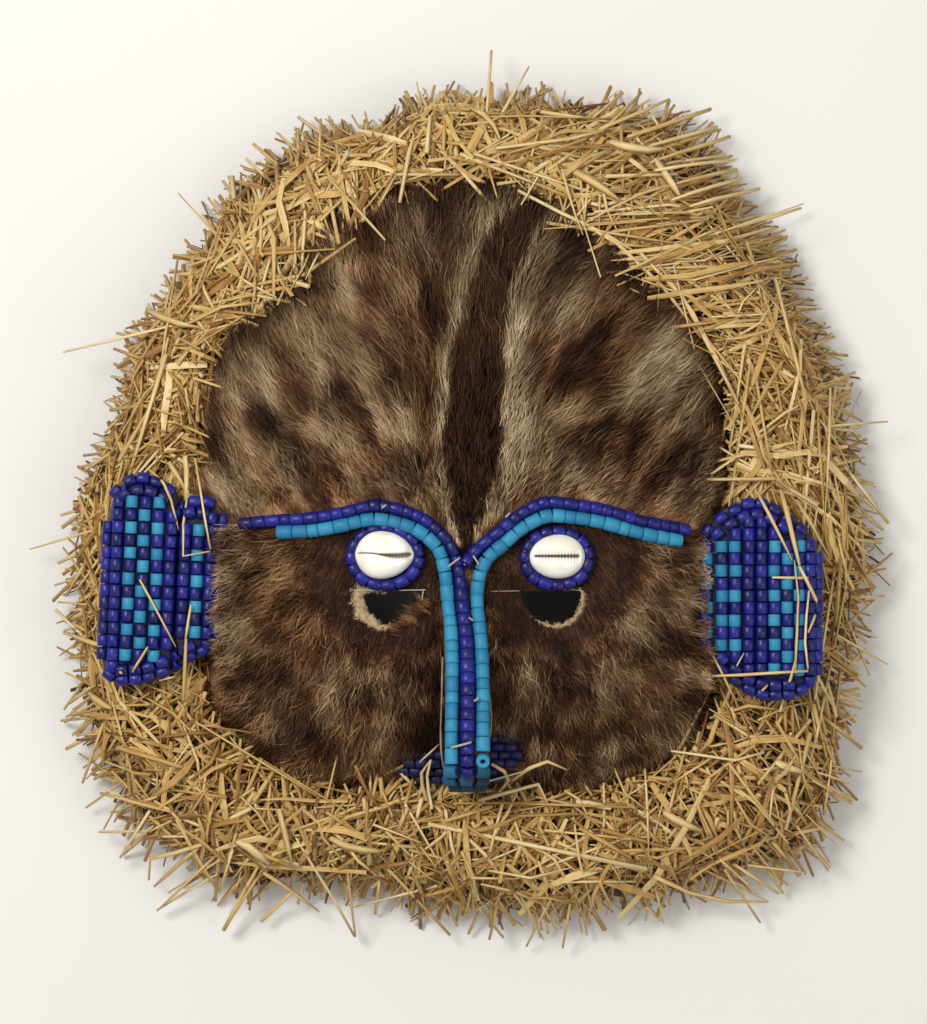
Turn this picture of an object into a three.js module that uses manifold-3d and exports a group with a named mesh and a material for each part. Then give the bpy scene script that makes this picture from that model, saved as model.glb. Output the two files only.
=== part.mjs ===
// African mask, lying on its back: a furred face with cowrie eyes, bead strings
// over brow and nose, two beaded ears and a ruff of straw around the rim.
// Millimetres, +Z up, the top of the mask toward +Y, the rim flat on z = 0.

import * as THREE from "three";
import { mergeVertices } from "three/addons/utils/BufferGeometryUtils.js";
import Module from "manifold-3d";

const wasm = await Module();
wasm.setup();

// Face shell: a hollow dome on a flat rim, its outline two superellipse halves
const FACE_CENTRE_X = 1;
const FACE_CENTRE_Y = 2;
const FACE_HALF_WIDTH = 108;
const CROWN_HEIGHT = 129;
const CHIN_DEPTH = 121;
const CROWN_SQUARENESS = 2.25;
const CHIN_SQUARENESS = 3.6;
const RIM_HEIGHT = 30;
const FACE_RISE = 32;
const DOME_FULLNESS = 2.8;
const SHELL_WALL = 5;
const FACE_SECTORS = 32;
const OUTER_SHARES = [0, 0.25, 0.45, 0.63, 0.79, 0.92, 1];
const INNER_SHARES = [1, 0.8, 0];
const GAP = 0.3;
const CUT_BOTTOM = 10;
const CUT_TOP = 100;

// Eyes: mirrored about a line that lies a little right of the face's middle
const EYE_AXIS_X = 4.9;
const EYE_OFFSET = 34;
const EYE_Y = -22.6;
const SOCKET_DEPTH = 3;
const SOCKET_SPREAD = 15;
const COWRIE_SIZES = { left: [23.8, 18.6], right: [22.4, 17.6] };
const COWRIE_HEIGHT = 9.2;
const COWRIE_LIFT = 1.1;
const SLIT_WIDTH = 1.8;
const SLIT_DEPTH = 2.2;
const RING_CLEARANCE = 1.7;
const RING_DROP = 0.8;
const RING_BEADS = 14;
const HOLE_WIDTH = 24.4;
const HOLE_DEPTH = 13.6;
const HOLE_TOP_Y = -36;
const HOLE_X_FROM_EYE = -2.6;
const HOLE_LEAN = 0.16;

// Beads on strings, and the routes that the strings take over the face
const DARK_BEAD_RADIUS = 2.05;
const LIGHT_BEAD_RADIUS = 2.5;
const BEAD_SIDES = 5;
const NECK_SHARE = 0.72;
const STRING_CLEARANCE = 0.5;
const LEFT_DARK_ROUTE = [
  [-88, -9.2], [-63.4, -8], [-49.8, -4.2], [-32.2, 0], [-22.2, -2.8],
  [-11.8, -8.8], [-3.8, -14.8], [-0.2, -24], [0.6, -40], [2.2, -70], [3.6, -94], [4, -107],
];
const LEFT_LIGHT_ROUTE = [
  [-81.4, -13.2], [-52, -11.6], [-34, -6], [-25, -7.7], [-15, -13],
  [-8.4, -20], [-5.4, -32], [-3.6, -60], [-2.4, -80], [-1.8, -98], [-1.4, -108],
];
const RIGHT_LIGHT_ROUTE = [
  [88.6, -16.4], [75, -14.6], [58, -9.8], [46, -6.8], [33.8, -6], [26, -9.4],
  [18.2, -16.4], [11.6, -21.6], [7.6, -31], [7, -50], [9, -72], [10, -90], [9.6, -106],
];
const RIGHT_DARK_ROUTE = [
  [91.8, -12], [76.6, -8.8], [64.2, -5.6], [46.6, -1.2], [33, 0.4],
  [23.8, -4.4], [14.6, -12.8], [6.2, -18.4], [3.6, -21.6],
];
const STRINGS = {
  left_dark_string: { route: LEFT_DARK_ROUTE, beads: 38 },
  left_light_string: { route: LEFT_LIGHT_ROUTE, beads: 32 },
  right_light_string: { route: RIGHT_LIGHT_ROUTE, beads: 34 },
  right_dark_string: { route: RIGHT_DARK_ROUTE, beads: 19 },
};

// Nose: a ridge that widens and rises to a tip hanging over the mouth
const NOSE_TOP_Y = -34;
const NOSE_FOOT_Y = -92;
const NOSE_TIP_Y = -112;
const NOSE_TOP_X = 1;
const NOSE_TIP_X = 4.2;
const NOSE_TOP_WIDTH = 15;
const NOSE_TIP_WIDTH = 19;
const NOSE_BRIDGE_RISE = 1;
const NOSE_TIP_RISE = 36;
const NOSE_TIP_UNDERSIDE = 12;
const NOSE_RISE_POWER = 1.3;
const NOSE_CROWN = 2.5;
const NOSE_TIP_START = 0.88;
const NOSE_TIP_FALL = 9;
const NOSE_SIDE_GAP = 0.6;
const NOSE_COLUMNS = 2;
const NOSE_ROWS = 10;

// Mouth: an oval lip band of small beads under the tip of the nose
const MOUTH_X = 1.5;
const MOUTH_Y = -107;
const MOUTH_HALF_WIDTH = 25;
const MOUTH_HALF_HEIGHT = 7.6;
const MOUTH_CORNER_SHARE = 0.35;
const LIP_THICKNESS = 6;
const LIP_EDGE_THICKNESS = 2;
const LIP_LINE_DEPTH = 3;
const LIP_LINE_WIDTH = 0.22;
const MOUTH_COLUMNS = 12;

// Fur: three pelts, their thickness growing from the edge, raised in locks
const FUR_THICKNESS = { forehead: 9, cheek: 8, edge: 3 };
const FUR_LOCK_RELIEF = 1.5;
const FUR_TUFT_RELIEF = 1.1;
const TUFTS_PER_LOCK = 1.1;
const PELT_RIM_SHARE = 0.985;
const PELT_RIM_FALL = 1.6;
const PELT_RIM_START = 0.85;
const FOREHEAD_GRID = [32, 5];
const CHEEK_GRID = [18, 5];
const FOREHEAD_HALF_TURN = 0.53 * Math.PI;
const BROW_CLEARANCE = 3.2;
const BROW_END = [2, 4];
const EYE_PATCH = [
  [52, -15.8], [51.5, -27], [46.6, -38], [45, -47], [38, -53], [27, -52], [18, -45], [15.6, -34],
];
const CHEEK_TURNS = {
  left: [1.055 * Math.PI, 1.462 * Math.PI],
  right: [-0.076 * Math.PI, -0.452 * Math.PI],
};

// Ears: beaded cushions, ribbed by the columns of beads
const EARS = {
  left: { x: -117.5, y: -32, width: 47, height: 83, tilt: -2.5, valleyDepth: 3.5 },
  right: { x: 120.2, y: -39.6, width: 46, height: 79, tilt: 0, valleyDepth: 0 },
};
const EAR_UNDERSIDE = 43;
const EAR_EDGE_THICKNESS = 5;
const EAR_BULGE = 6;
const EAR_COLUMNS = 9;
const EAR_ROWS = 4;
const EAR_RIB = 1.2;
const EAR_VALLEY_PLACE = 0.68;
const EAR_VALLEY_WIDTH = 0.07;
const EAR_CORNER = 9;
const EAR_CORNER_PINCH = 0.12;

// Straw: a closed ruff around the shell, with bundles of straw standing out
const RUFF_GAP = 0.5;
const RUFF_REACH = [164, 156, 169, 170, 160, 154, 147, 141, 150, 163, 178, 166, 162, 172, 192, 169];
const RUFF_UNDERSIDE = 4;
const RUFF_PROFILE = [[0, RUFF_UNDERSIDE], [0, 43], [0.25, 50], [0.72, 40], [1, 20], [0.7, RUFF_UNDERSIDE]];
const RUFF_TUFTS = 32;
const TUFT_NOTCH = 0.24;
const STRAW_RADIUS = 1.25;
const STRAW_ROOT_SHARE = 0.5;
const STRAW_ROOT_HEIGHT = 24;
const FRINGE_STRAWS = 33;
const FRINGE_SPREAD = { lean: 0.24, reach: 0.2, rootDrop: 8, tipLow: 5, tipHigh: 35, girth: 0.8 };
const STRAW_SEED = 20;
const LONG_STRAWS = [
  { tip: [-160.2, 60, 24], lean: -0.24 },
  { tip: [-174.8, -20, 14], lean: -0.06 },
  { tip: [174.6, 32, 18], lean: 0.03 },
  { tip: [175.2, -67, 12], lean: 0.05 },
  { tip: [13.4, 183.2, 16], lean: 0 },
  { tip: [28.6, 176, 22], lean: 0.08 },
  { tip: [139.8, 120, 26], lean: 0.12 },
  { tip: [151.8, -150, 12], lean: 0.02 },
  { tip: [126.6, -164, 10], lean: -0.15 },
  { tip: [42.6, -183.2, 8], lean: 0.1 },
  { tip: [34.6, -179, 14], lean: -0.08 },
  { tip: [-42.2, -178.4, 10], lean: -0.1 },
  { tip: [-95.8, -175.6, 10], lean: 0.02 },
  { tip: [-123.4, -168, 8], lean: 0.06 },
  { tip: [-114, 124.8, 18], lean: 0 },
];

const COLOURS = {
  wood: { color: 0x6b4a2e, roughness: 0.7, metalness: 0 },
  foreheadFur: { color: 0x6a553c, roughness: 0.95, metalness: 0 },
  cheekFur: { color: 0x54402c, roughness: 0.95, metalness: 0 },
  darkBeads: { color: 0x20268c, roughness: 0.25, metalness: 0 },
  lightBeads: { color: 0x3a82ad, roughness: 0.3, metalness: 0 },
  cowrie: { color: 0xf0eee4, roughness: 0.3, metalness: 0 },
  straw: { color: 0xb4945c, roughness: 0.85, metalness: 0 },
};

// Solids from geometries

function meshOf(geometry, isTurned) {
  const triVerts = new Uint32Array(geometry.getIndex().array);
  for (let corner = 0; isTurned && corner < triVerts.length; corner += 3) {
    [triVerts[corner], triVerts[corner + 1]] = [triVerts[corner + 1], triVerts[corner]];
  }
  const vertProperties = geometry.getAttribute("position").array;
  return new wasm.Mesh({ numProp: 3, vertProperties, triVerts });
}

// A geometry that was reshaped into its mirror image is turned to face outward
function solidOf(geometry) {
  const bare = new THREE.BufferGeometry();
  bare.setAttribute("position", geometry.getAttribute("position"));
  bare.setIndex(geometry.getIndex());
  const merged = mergeVertices(bare, 1e-4);
  const solid = new wasm.Manifold(meshOf(merged, false));
  return solid.volume() > 0 ? solid : new wasm.Manifold(meshOf(merged, true));
}

function geometryOf(solid) {
  const mesh = solid.getMesh();
  const geometry = new THREE.BufferGeometry();
  geometry.setAttribute("position", new THREE.BufferAttribute(mesh.vertProperties, 3));
  geometry.setIndex(new THREE.BufferAttribute(mesh.triVerts, 1));
  const faceted = geometry.toNonIndexed();
  faceted.computeVertexNormals();
  return faceted;
}

// Moves every vertex of a geometry to the place that map(vertex, index) gives
function reshape(geometry, map) {
  const position = geometry.getAttribute("position");
  const vertex = new THREE.Vector3();
  for (let index = 0; index < position.count; index += 1) {
    vertex.fromBufferAttribute(position, index);
    position.setXYZ(index, ...map(vertex.clone(), index).toArray());
  }
  return geometry;
}

// A slab with columns by rows of facets above and below: map(u, v, isTop)
function warpedSlab(columns, rows, map) {
  const box = new THREE.BoxGeometry(1, 1, 1, columns, rows, 1);
  const place = (vertex) => map(vertex.x + 0.5, vertex.y + 0.5, vertex.z > 0);
  return solidOf(reshape(box, place));
}

// A prism over a flat outline that cuts upward from a height, past the mask's top
function cutter(shape, bottom = CUT_BOTTOM) {
  const geometry = new THREE.ExtrudeGeometry(shape, { depth: CUT_TOP - bottom, bevelEnabled: false });
  geometry.translate(0, 0, bottom);
  return solidOf(geometry);
}

function flatCurve(points) {
  const places = points.map(([x, y]) => new THREE.Vector3(x, y, 0));
  return new THREE.CatmullRomCurve3(places, false, "centripetal");
}

// Numbers from 0 to 1 that repeat from run to run
function randomSource(seed) {
  let state = seed;
  return () => {
    state = (state + 0x6d2b79f5) | 0;
    let mixed = Math.imul(state ^ (state >>> 15), 1 | state);
    mixed = (mixed + Math.imul(mixed ^ (mixed >>> 7), 61 | mixed)) ^ mixed;
    return ((mixed ^ (mixed >>> 14)) >>> 0) / 4294967296;
  };
}

// Face outline and height

function outlineRadius(angle) {
  const isCrown = Math.sin(angle) >= 0;
  const height = isCrown ? CROWN_HEIGHT : CHIN_DEPTH;
  const power = isCrown ? CROWN_SQUARENESS : CHIN_SQUARENESS;
  const across = (Math.abs(Math.cos(angle)) / FACE_HALF_WIDTH) ** power;
  const along = (Math.abs(Math.sin(angle)) / height) ** power;
  return (across + along) ** (-1 / power);
}

function outlinePoint(angle, share, growth = 0) {
  const radius = outlineRadius(angle) * share + growth;
  return new THREE.Vector2(
    FACE_CENTRE_X + radius * Math.cos(angle),
    FACE_CENTRE_Y + radius * Math.sin(angle),
  );
}

function outlineShare(x, y) {
  const angle = Math.atan2(y - FACE_CENTRE_Y, x - FACE_CENTRE_X);
  return Math.hypot(x - FACE_CENTRE_X, y - FACE_CENTRE_Y) / outlineRadius(angle);
}

function eyeX(side) {
  return EYE_AXIS_X + side * EYE_OFFSET;
}

function socketDepth(x, y) {
  const fall = (side) => {
    const across = x - eyeX(side);
    const along = y - EYE_Y + SOCKET_SPREAD / 3;
    return Math.exp(-(across ** 2 + along ** 2) / (2 * SOCKET_SPREAD ** 2));
  };
  return SOCKET_DEPTH * (fall(-1) + fall(1));
}

function faceHeight(x, y) {
  const share = Math.min(1, outlineShare(x, y));
  const dome = RIM_HEIGHT + FACE_RISE * Math.sqrt(1 - share ** DOME_FULLNESS);
  return dome - socketDepth(x, y);
}

// A dome over the outline: profile steps of [share, growth, height(x, y)]
function domeOf(steps) {
  const profile = steps.map(([share], step) => new THREE.Vector2(share, step));
  const lathe = new THREE.LatheGeometry(profile, FACE_SECTORS);
  const place = (vertex, index) => {
    const turn = Math.floor(index / steps.length);
    const angle = (2 * Math.PI * (FACE_SECTORS - turn)) / FACE_SECTORS;
    const [share, growth, height] = steps[index % steps.length];
    const flat = outlinePoint(angle, share, share > 0 ? growth : 0);
    return new THREE.Vector3(flat.x, flat.y, height(flat.x, flat.y));
  };
  return solidOf(reshape(lathe, place));
}

// The face as a full body, grown by a lift: what lies on the shell is cut by it
function faceCover(lift) {
  const outer = OUTER_SHARES.map((share) => [share, lift, (x, y) => faceHeight(x, y) + lift]);
  return domeOf([...outer, [1, lift, () => 0], [0, 0, () => 0]]);
}

// A hole under an eye: flat above, half an ellipse below that leans outward
function eyeHole(side) {
  const centre = eyeX(side) + side * HOLE_X_FROM_EYE;
  const lower = new THREE.EllipseCurve(0, 0, HOLE_WIDTH / 2, HOLE_DEPTH, Math.PI, 2 * Math.PI);
  return new THREE.Shape(lower.getPoints(8).map((point) => new THREE.Vector2(
    centre + point.x - side * HOLE_LEAN * point.y,
    HOLE_TOP_Y + point.y,
  )));
}

function faceShell() {
  const outer = OUTER_SHARES.map((share) => [share, 0, faceHeight]);
  const inner = INNER_SHARES.map((share) => [
    share, -SHELL_WALL, (x, y) => faceHeight(x, y) - SHELL_WALL,
  ]);
  const solid = domeOf([...outer, [1, 0, () => 0], [1, -SHELL_WALL, () => 0], ...inner]);
  const holes = [-1, 1].map((side) => cutter(eyeHole(side)));
  return solid.subtract(wasm.Manifold.union(holes));
}

// Nose and mouth

function noseHalfWidth(along) {
  return (NOSE_TOP_WIDTH + (NOSE_TIP_WIDTH - NOSE_TOP_WIDTH) * along) / 2;
}

function noseMiddle(along) {
  return NOSE_TOP_X + (NOSE_TIP_X - NOSE_TOP_X) * along;
}

function noseAlong(y) {
  return (NOSE_TOP_Y - y) / (NOSE_TOP_Y - NOSE_TIP_Y);
}

// Height of the nose's ridge over the face, crowned across and rounded at the tip
function noseTop(x, y) {
  const along = Math.min(1, Math.max(0, noseAlong(y)));
  const across = (x - noseMiddle(along)) / noseHalfWidth(along);
  const rise = NOSE_BRIDGE_RISE + (NOSE_TIP_RISE - NOSE_BRIDGE_RISE) * along ** NOSE_RISE_POWER;
  const tipShare = Math.max(0, along - NOSE_TIP_START) / (1 - NOSE_TIP_START);
  const tipFall = NOSE_TIP_FALL * tipShare ** 2;
  return faceHeight(NOSE_TOP_X, y) + rise - tipFall - NOSE_CROWN * Math.min(1, across ** 2);
}

function nose() {
  return warpedSlab(NOSE_COLUMNS, NOSE_ROWS, (u, v, isTop) => {
    const y = NOSE_TOP_Y + (NOSE_TIP_Y - NOSE_TOP_Y) * v;
    const x = noseMiddle(v) + (2 * u - 1) * noseHalfWidth(v);
    const underside = faceHeight(x, y) + (y < NOSE_FOOT_Y ? NOSE_TIP_UNDERSIDE : -2);
    return new THREE.Vector3(x, y, isTop ? noseTop(x, y) : underside);
  });
}

// What stands beside the nose is cut by its flat outline, run on past the tip
function noseCutter() {
  const edge = (side) => [[0, 0], [1, NOSE_TIP_FALL]].map(([along, past]) => new THREE.Vector2(
    noseMiddle(along) + side * (noseHalfWidth(along) + NOSE_SIDE_GAP),
    (along > 0 ? NOSE_TIP_Y : NOSE_TOP_Y) - past,
  ));
  return cutter(new THREE.Shape([...edge(-1), ...edge(1).reverse()]));
}

function lipShare(across) {
  return Math.sqrt(Math.max(MOUTH_CORNER_SHARE ** 2, 1 - across ** 2));
}

function mouthOutline(growth) {
  const steps = Array.from({ length: MOUTH_COLUMNS + 1 }, (_, step) => (2 * step) / MOUTH_COLUMNS - 1);
  const edge = (side) => steps.map((across) => new THREE.Vector2(
    MOUTH_X + (MOUTH_HALF_WIDTH + growth) * across,
    MOUTH_Y + side * (MOUTH_HALF_HEIGHT * lipShare(across) + growth),
  ));
  return new THREE.Shape([...edge(-1), ...edge(1).reverse()]);
}

function mouth() {
  return warpedSlab(MOUTH_COLUMNS, 4, (u, v, isTop) => {
    const across = 2 * u - 1;
    const along = 2 * v - 1;
    const width = lipShare(across);
    const x = MOUTH_X + MOUTH_HALF_WIDTH * across;
    const y = MOUTH_Y + MOUTH_HALF_HEIGHT * width * along;
    const swell = width * (1 - Math.abs(along) ** 3);
    const line = LIP_LINE_DEPTH * width * Math.exp(-(((along * width) / LIP_LINE_WIDTH) ** 2));
    const thickness = LIP_EDGE_THICKNESS + (LIP_THICKNESS - LIP_EDGE_THICKNESS) * swell - line;
    return new THREE.Vector3(x, y, faceHeight(x, y) + (isTop ? thickness : -LIP_THICKNESS));
  });
}

// Beads and shells, each laid on the facets beneath it

// Height of the topmost facet of some solids, looking straight down on a point
function seatOn(solids) {
  const meshes = solids.map((solid) => new THREE.Mesh(geometryOf(solid)));
  const ray = new THREE.Raycaster();
  const down = new THREE.Vector3(0, 0, -1);
  return (x, y) => {
    ray.set(new THREE.Vector3(x, y, CUT_TOP), down);
    const hits = ray.intersectObjects(meshes);
    return hits.length > 0 ? hits[0].point.z : RIM_HEIGHT;
  };
}

// The highest seat under a round thing of that radius
function seatAround(seat, x, y, radius) {
  const turns = Array.from({ length: 8 }, (_, turn) => (turn * Math.PI) / 4);
  const around = turns.map((turn) => seat(x + radius * Math.cos(turn), y + radius * Math.sin(turn)));
  return Math.max(seat(x, y), ...around);
}

function beadString(route, beads, radius, seat) {
  const flat = flatCurve(route);
  const places = flat.getSpacedPoints(route.length * 4).map((point) => new THREE.Vector3(
    point.x, point.y, seatAround(seat, point.x, point.y, radius * 0.7) + radius + STRING_CLEARANCE,
  ));
  const curve = new THREE.CatmullRomCurve3(places, false, "centripetal");
  const steps = 2 * beads;
  const frames = curve.computeFrenetFrames(steps, false);
  const tube = new THREE.CylinderGeometry(radius, radius, 1, BEAD_SIDES, steps);
  const place = (vertex) => {
    const step = Math.round((0.5 - vertex.y) * steps);
    const girth = step % 2 === 0 ? NECK_SHARE : 1;
    return curve.getPointAt(step / steps)
      .addScaledVector(frames.normals[step], vertex.x * girth)
      .addScaledVector(frames.binormals[step], vertex.z * girth);
  };
  return solidOf(reshape(tube, place));
}

function eyeRing(side, size, seat) {
  const across = size[0] / 2 + RING_CLEARANCE;
  const along = size[1] / 2 + RING_CLEARANCE;
  const tubular = 2 * RING_BEADS;
  const torus = new THREE.TorusGeometry(1, DARK_BEAD_RADIUS, BEAD_SIDES, tubular);
  const place = (vertex, index) => {
    const turn = index % (tubular + 1);
    const round = Math.floor(index / (tubular + 1));
    const angle = (2 * Math.PI * turn) / tubular;
    const roll = (2 * Math.PI * round) / BEAD_SIDES;
    const girth = DARK_BEAD_RADIUS * (turn % 2 === 0 ? 1 : NECK_SHARE);
    const x = eyeX(side) + across * Math.cos(angle);
    const y = EYE_Y - RING_DROP + along * Math.sin(angle);
    return new THREE.Vector3(
      x + girth * Math.cos(roll) * Math.cos(angle),
      y + girth * Math.cos(roll) * Math.sin(angle),
      seatAround(seat, x, y, DARK_BEAD_RADIUS / 2) + DARK_BEAD_RADIUS + GAP + girth * Math.sin(roll),
    );
  };
  return solidOf(reshape(torus, place));
}

// The lowest place at which a cowrie's rounded underside clears what is under it
function cowrieRest(side, size, seat) {
  const lifts = [0, 0.3, 0.55, 0.75, 0.9].map((share) => {
    const highest = Math.max(...Array.from({ length: 12 }, (_, turn) => {
      const angle = (turn * Math.PI) / 6;
      return seat(
        eyeX(side) + (share * size[0] * Math.cos(angle)) / 2,
        EYE_Y + (share * size[1] * Math.sin(angle)) / 2,
      );
    }));
    return highest - (COWRIE_HEIGHT / 2) * (1 - Math.sqrt(1 - share ** 2));
  });
  return Math.max(...lifts) + COWRIE_LIFT;
}

function cowrie(side, size, seat) {
  const base = cowrieRest(side, size, seat);
  const shell = new THREE.SphereGeometry(1, 14, 6);
  shell.rotateX(Math.PI / 2);
  shell.scale(size[0] / 2, size[1] / 2, COWRIE_HEIGHT / 2);
  shell.translate(eyeX(side), EYE_Y, base + COWRIE_HEIGHT / 2);
  const slit = new THREE.SphereGeometry(1, 6, 3);
  slit.rotateX(Math.PI / 2);
  slit.scale(size[0] * 0.4, SLIT_WIDTH / 2, SLIT_DEPTH);
  slit.translate(eyeX(side), EYE_Y, base + COWRIE_HEIGHT - 0.3);
  return solidOf(shell).subtract(solidOf(slit));
}

// Fur

// A pelt between an inner edge (v = 0) and an outer edge (v = 1), its fur in locks
function pelt(grid, edges, fullness, seed) {
  const [columns, rows] = grid;
  const random = randomSource(seed);
  const phases = Array.from({ length: columns + 1 }, () => 2 * Math.PI * random());
  return warpedSlab(columns, rows, (u, v, isTop) => {
    const flat = edges.inner(u).lerp(edges.outer(u), v);
    const column = Math.round(u * columns);
    const rimFall = 1 - Math.max(0, v - PELT_RIM_START) * PELT_RIM_FALL;
    const body = Math.sin(Math.min(1, 1.6 * v + 0.1) * Math.PI / 2) * rimFall;
    const lock = FUR_LOCK_RELIEF * (column % 2 === 0 ? 1 : -1);
    const tuft = FUR_TUFT_RELIEF * Math.sin(2 * Math.PI * TUFTS_PER_LOCK * v + phases[column]);
    const relief = (lock + tuft) * Math.min(1, 3 * v);
    const thickness = FUR_THICKNESS.edge + (fullness - FUR_THICKNESS.edge) * body + relief;
    const height = faceHeight(flat.x, flat.y) + (isTop ? thickness : -FUR_THICKNESS.edge);
    return new THREE.Vector3(flat.x, flat.y, height);
  });
}

function flatPoint(curve, share) {
  const point = curve.getPointAt(share);
  return new THREE.Vector2(point.x, point.y);
}

function foreheadPelt() {
  const aboveString = (route) => route.map(([x, y]) => [x, y + BROW_CLEARANCE]);
  const crown = (u) => outlinePoint(Math.PI / 2 + FOREHEAD_HALF_TURN * (1 - 2 * u), PELT_RIM_SHARE);
  const brow = flatCurve([
    [crown(0).x + BROW_END[0], crown(0).y + BROW_END[1]],
    ...aboveString(LEFT_DARK_ROUTE.slice(0, 7)),
    ...aboveString(RIGHT_DARK_ROUTE.slice(0, 8)).reverse(),
    [crown(1).x - BROW_END[0], crown(1).y + BROW_END[1]],
  ]);
  const edges = { inner: (u) => flatPoint(brow, u), outer: crown };
  return pelt(FOREHEAD_GRID, edges, FUR_THICKNESS.forehead, 5);
}

function cheekPelt(side) {
  const aroundEye = flatCurve(EYE_PATCH.map(([across, y]) => [EYE_AXIS_X + side * across, y]));
  const [start, end] = side < 0 ? CHEEK_TURNS.left : CHEEK_TURNS.right;
  const edges = {
    inner: (u) => flatPoint(aroundEye, u),
    outer: (u) => outlinePoint(start + (end - start) * u, PELT_RIM_SHARE),
  };
  return pelt(CHEEK_GRID, edges, FUR_THICKNESS.cheek, 9 + side);
}

// Ears

// The ear's outline as a rounded box about its own middle
function earOutline(ear, growth) {
  const halfWidth = ear.width / 2 + growth;
  const halfHeight = ear.height / 2 + growth;
  const outline = new THREE.Shape();
  outline.moveTo(0, -halfHeight);
  for (const [x, y, alongX, alongY] of [[1, -1, 1, 0], [1, 1, 0, 1], [-1, 1, -1, 0], [-1, -1, 0, -1]]) {
    const corner = new THREE.Vector2(x * halfWidth, y * halfHeight);
    outline.lineTo(corner.x - alongX * EAR_CORNER, corner.y - alongY * EAR_CORNER);
    const after = new THREE.Vector2(-alongY * EAR_CORNER, alongX * EAR_CORNER).add(corner);
    outline.quadraticCurveTo(corner.x, corner.y, after.x, after.y);
  }
  return outline;
}

function toEar(solid, ear) {
  return solid.rotate([0, 0, ear.tilt]).translate([ear.x, ear.y, 0]);
}

function earPad(ear) {
  const steps = 2 * EAR_COLUMNS;
  const slab = warpedSlab(steps, EAR_ROWS, (u, v, isTop) => {
    const across = 2 * u - 1;
    const along = 2 * v - 1;
    const pinch = 1 - EAR_CORNER_PINCH * across ** 6 * along ** 6;
    const bulge = EAR_BULGE * Math.sqrt((1 - across ** 4) * (1 - along ** 6));
    const rib = Math.round(u * steps) % 2 === 0 ? 0 : EAR_RIB;
    const valley = ear.valleyDepth * Math.exp(-(((u - EAR_VALLEY_PLACE) / EAR_VALLEY_WIDTH) ** 2));
    const thickness = EAR_EDGE_THICKNESS + bulge + rib - valley;
    return new THREE.Vector3(
      (across * pinch * ear.width) / 2,
      (along * pinch * ear.height) / 2,
      EAR_UNDERSIDE + (isTop ? thickness : 0),
    );
  });
  return toEar(slab, ear);
}

function earCutter(ear) {
  return toEar(cutter(earOutline(ear, GAP), EAR_UNDERSIDE - GAP), ear);
}

// Straw

function ruffReach(angle) {
  const steps = RUFF_REACH.length;
  const turn = ((angle / (2 * Math.PI)) * steps + steps) % steps;
  const before = Math.floor(turn);
  const share = (1 - Math.cos(Math.PI * (turn - before))) / 2;
  return RUFF_REACH[before % steps] * (1 - share) + RUFF_REACH[(before + 1) % steps] * share;
}

// Point of the ruff at a share of the way from the shell's edge to its reach
function ruffPoint(angle, share, height) {
  const inner = outlinePoint(angle, 1, RUFF_GAP);
  const reach = ruffReach(angle);
  const outer = new THREE.Vector2(reach * Math.cos(angle), reach * Math.sin(angle));
  const flat = inner.lerp(outer, share);
  return new THREE.Vector3(flat.x, flat.y, height);
}

// The ruff's body: every other section is drawn in, which leaves tufts between
function ruffBody(random) {
  const steps = RUFF_PROFILE.length;
  const turns = 2 * RUFF_TUFTS;
  const notches = Array.from({ length: turns }, (_, turn) => (turn % 2) * TUFT_NOTCH * (0.5 + random()));
  const torus = new THREE.TorusGeometry(2, 1, steps, turns);
  const place = (vertex, index) => {
    const turn = index % (turns + 1);
    const [share, height] = RUFF_PROFILE[Math.floor(index / (turns + 1)) % steps];
    const notch = notches[turn % turns];
    const drop = share > 0 ? 1 - notch : 1;
    const isRaised = height > RUFF_UNDERSIDE;
    return ruffPoint((2 * Math.PI * turn) / turns, share * drop, isRaised ? height * drop : height);
  };
  return solidOf(reshape(torus, place));
}

// A three-sided stem from a root inside the ruff, at some angle, out to its tip
function straw(rootAngle, rootHeight, tip, radius) {
  const root = ruffPoint(rootAngle, STRAW_ROOT_SHARE, rootHeight);
  const span = new THREE.Vector3().subVectors(tip, root);
  const stem = new THREE.CylinderGeometry(0.8 * radius, radius, span.length(), 3, 1);
  const upright = new THREE.Vector3(0, 1, 0);
  stem.applyQuaternion(new THREE.Quaternion().setFromUnitVectors(upright, span.normalize()));
  const middle = root.lerp(tip, 0.5);
  stem.translate(middle.x, middle.y, middle.z);
  return solidOf(stem);
}

function longStraws() {
  return LONG_STRAWS.map(({ tip, lean }) => {
    const angle = Math.atan2(tip[1], tip[0]) + lean;
    return straw(angle, STRAW_ROOT_HEIGHT, new THREE.Vector3(...tip), STRAW_RADIUS);
  });
}

function fringeStraws(random) {
  const between = (low, high) => low + (high - low) * random();
  return Array.from({ length: FRINGE_STRAWS }, (_, index) => {
    const angle = (2 * Math.PI * (index + random())) / FRINGE_STRAWS;
    const lean = FRINGE_SPREAD.lean * between(-0.5, 0.5);
    const reach = 1 + FRINGE_SPREAD.reach * random();
    const tip = ruffPoint(angle + lean, reach, between(FRINGE_SPREAD.tipLow, FRINGE_SPREAD.tipHigh));
    const rootHeight = STRAW_ROOT_HEIGHT - FRINGE_SPREAD.rootDrop * random();
    return straw(angle, rootHeight, tip, STRAW_RADIUS * (1 + FRINGE_SPREAD.girth * random()));
  });
}

function strawFringe() {
  const random = randomSource(STRAW_SEED);
  return wasm.Manifold.union([ruffBody(random), ...longStraws(), ...fringeStraws(random)]);
}

// Assembly

const group = new THREE.Group();

// Adds a piece as its own mesh, its geometry about the place where the mesh stands
function addPiece(name, solid, colour, place = new THREE.Vector3()) {
  const geometry = geometryOf(solid).translate(-place.x, -place.y, -place.z);
  const mesh = new THREE.Mesh(geometry, new THREE.MeshStandardMaterial(colour));
  mesh.name = name;
  mesh.position.copy(place);
  group.add(mesh);
}

function cut(solid, cutters) {
  return cutters.reduce((rest, tool) => rest.subtract(tool), solid);
}

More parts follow.
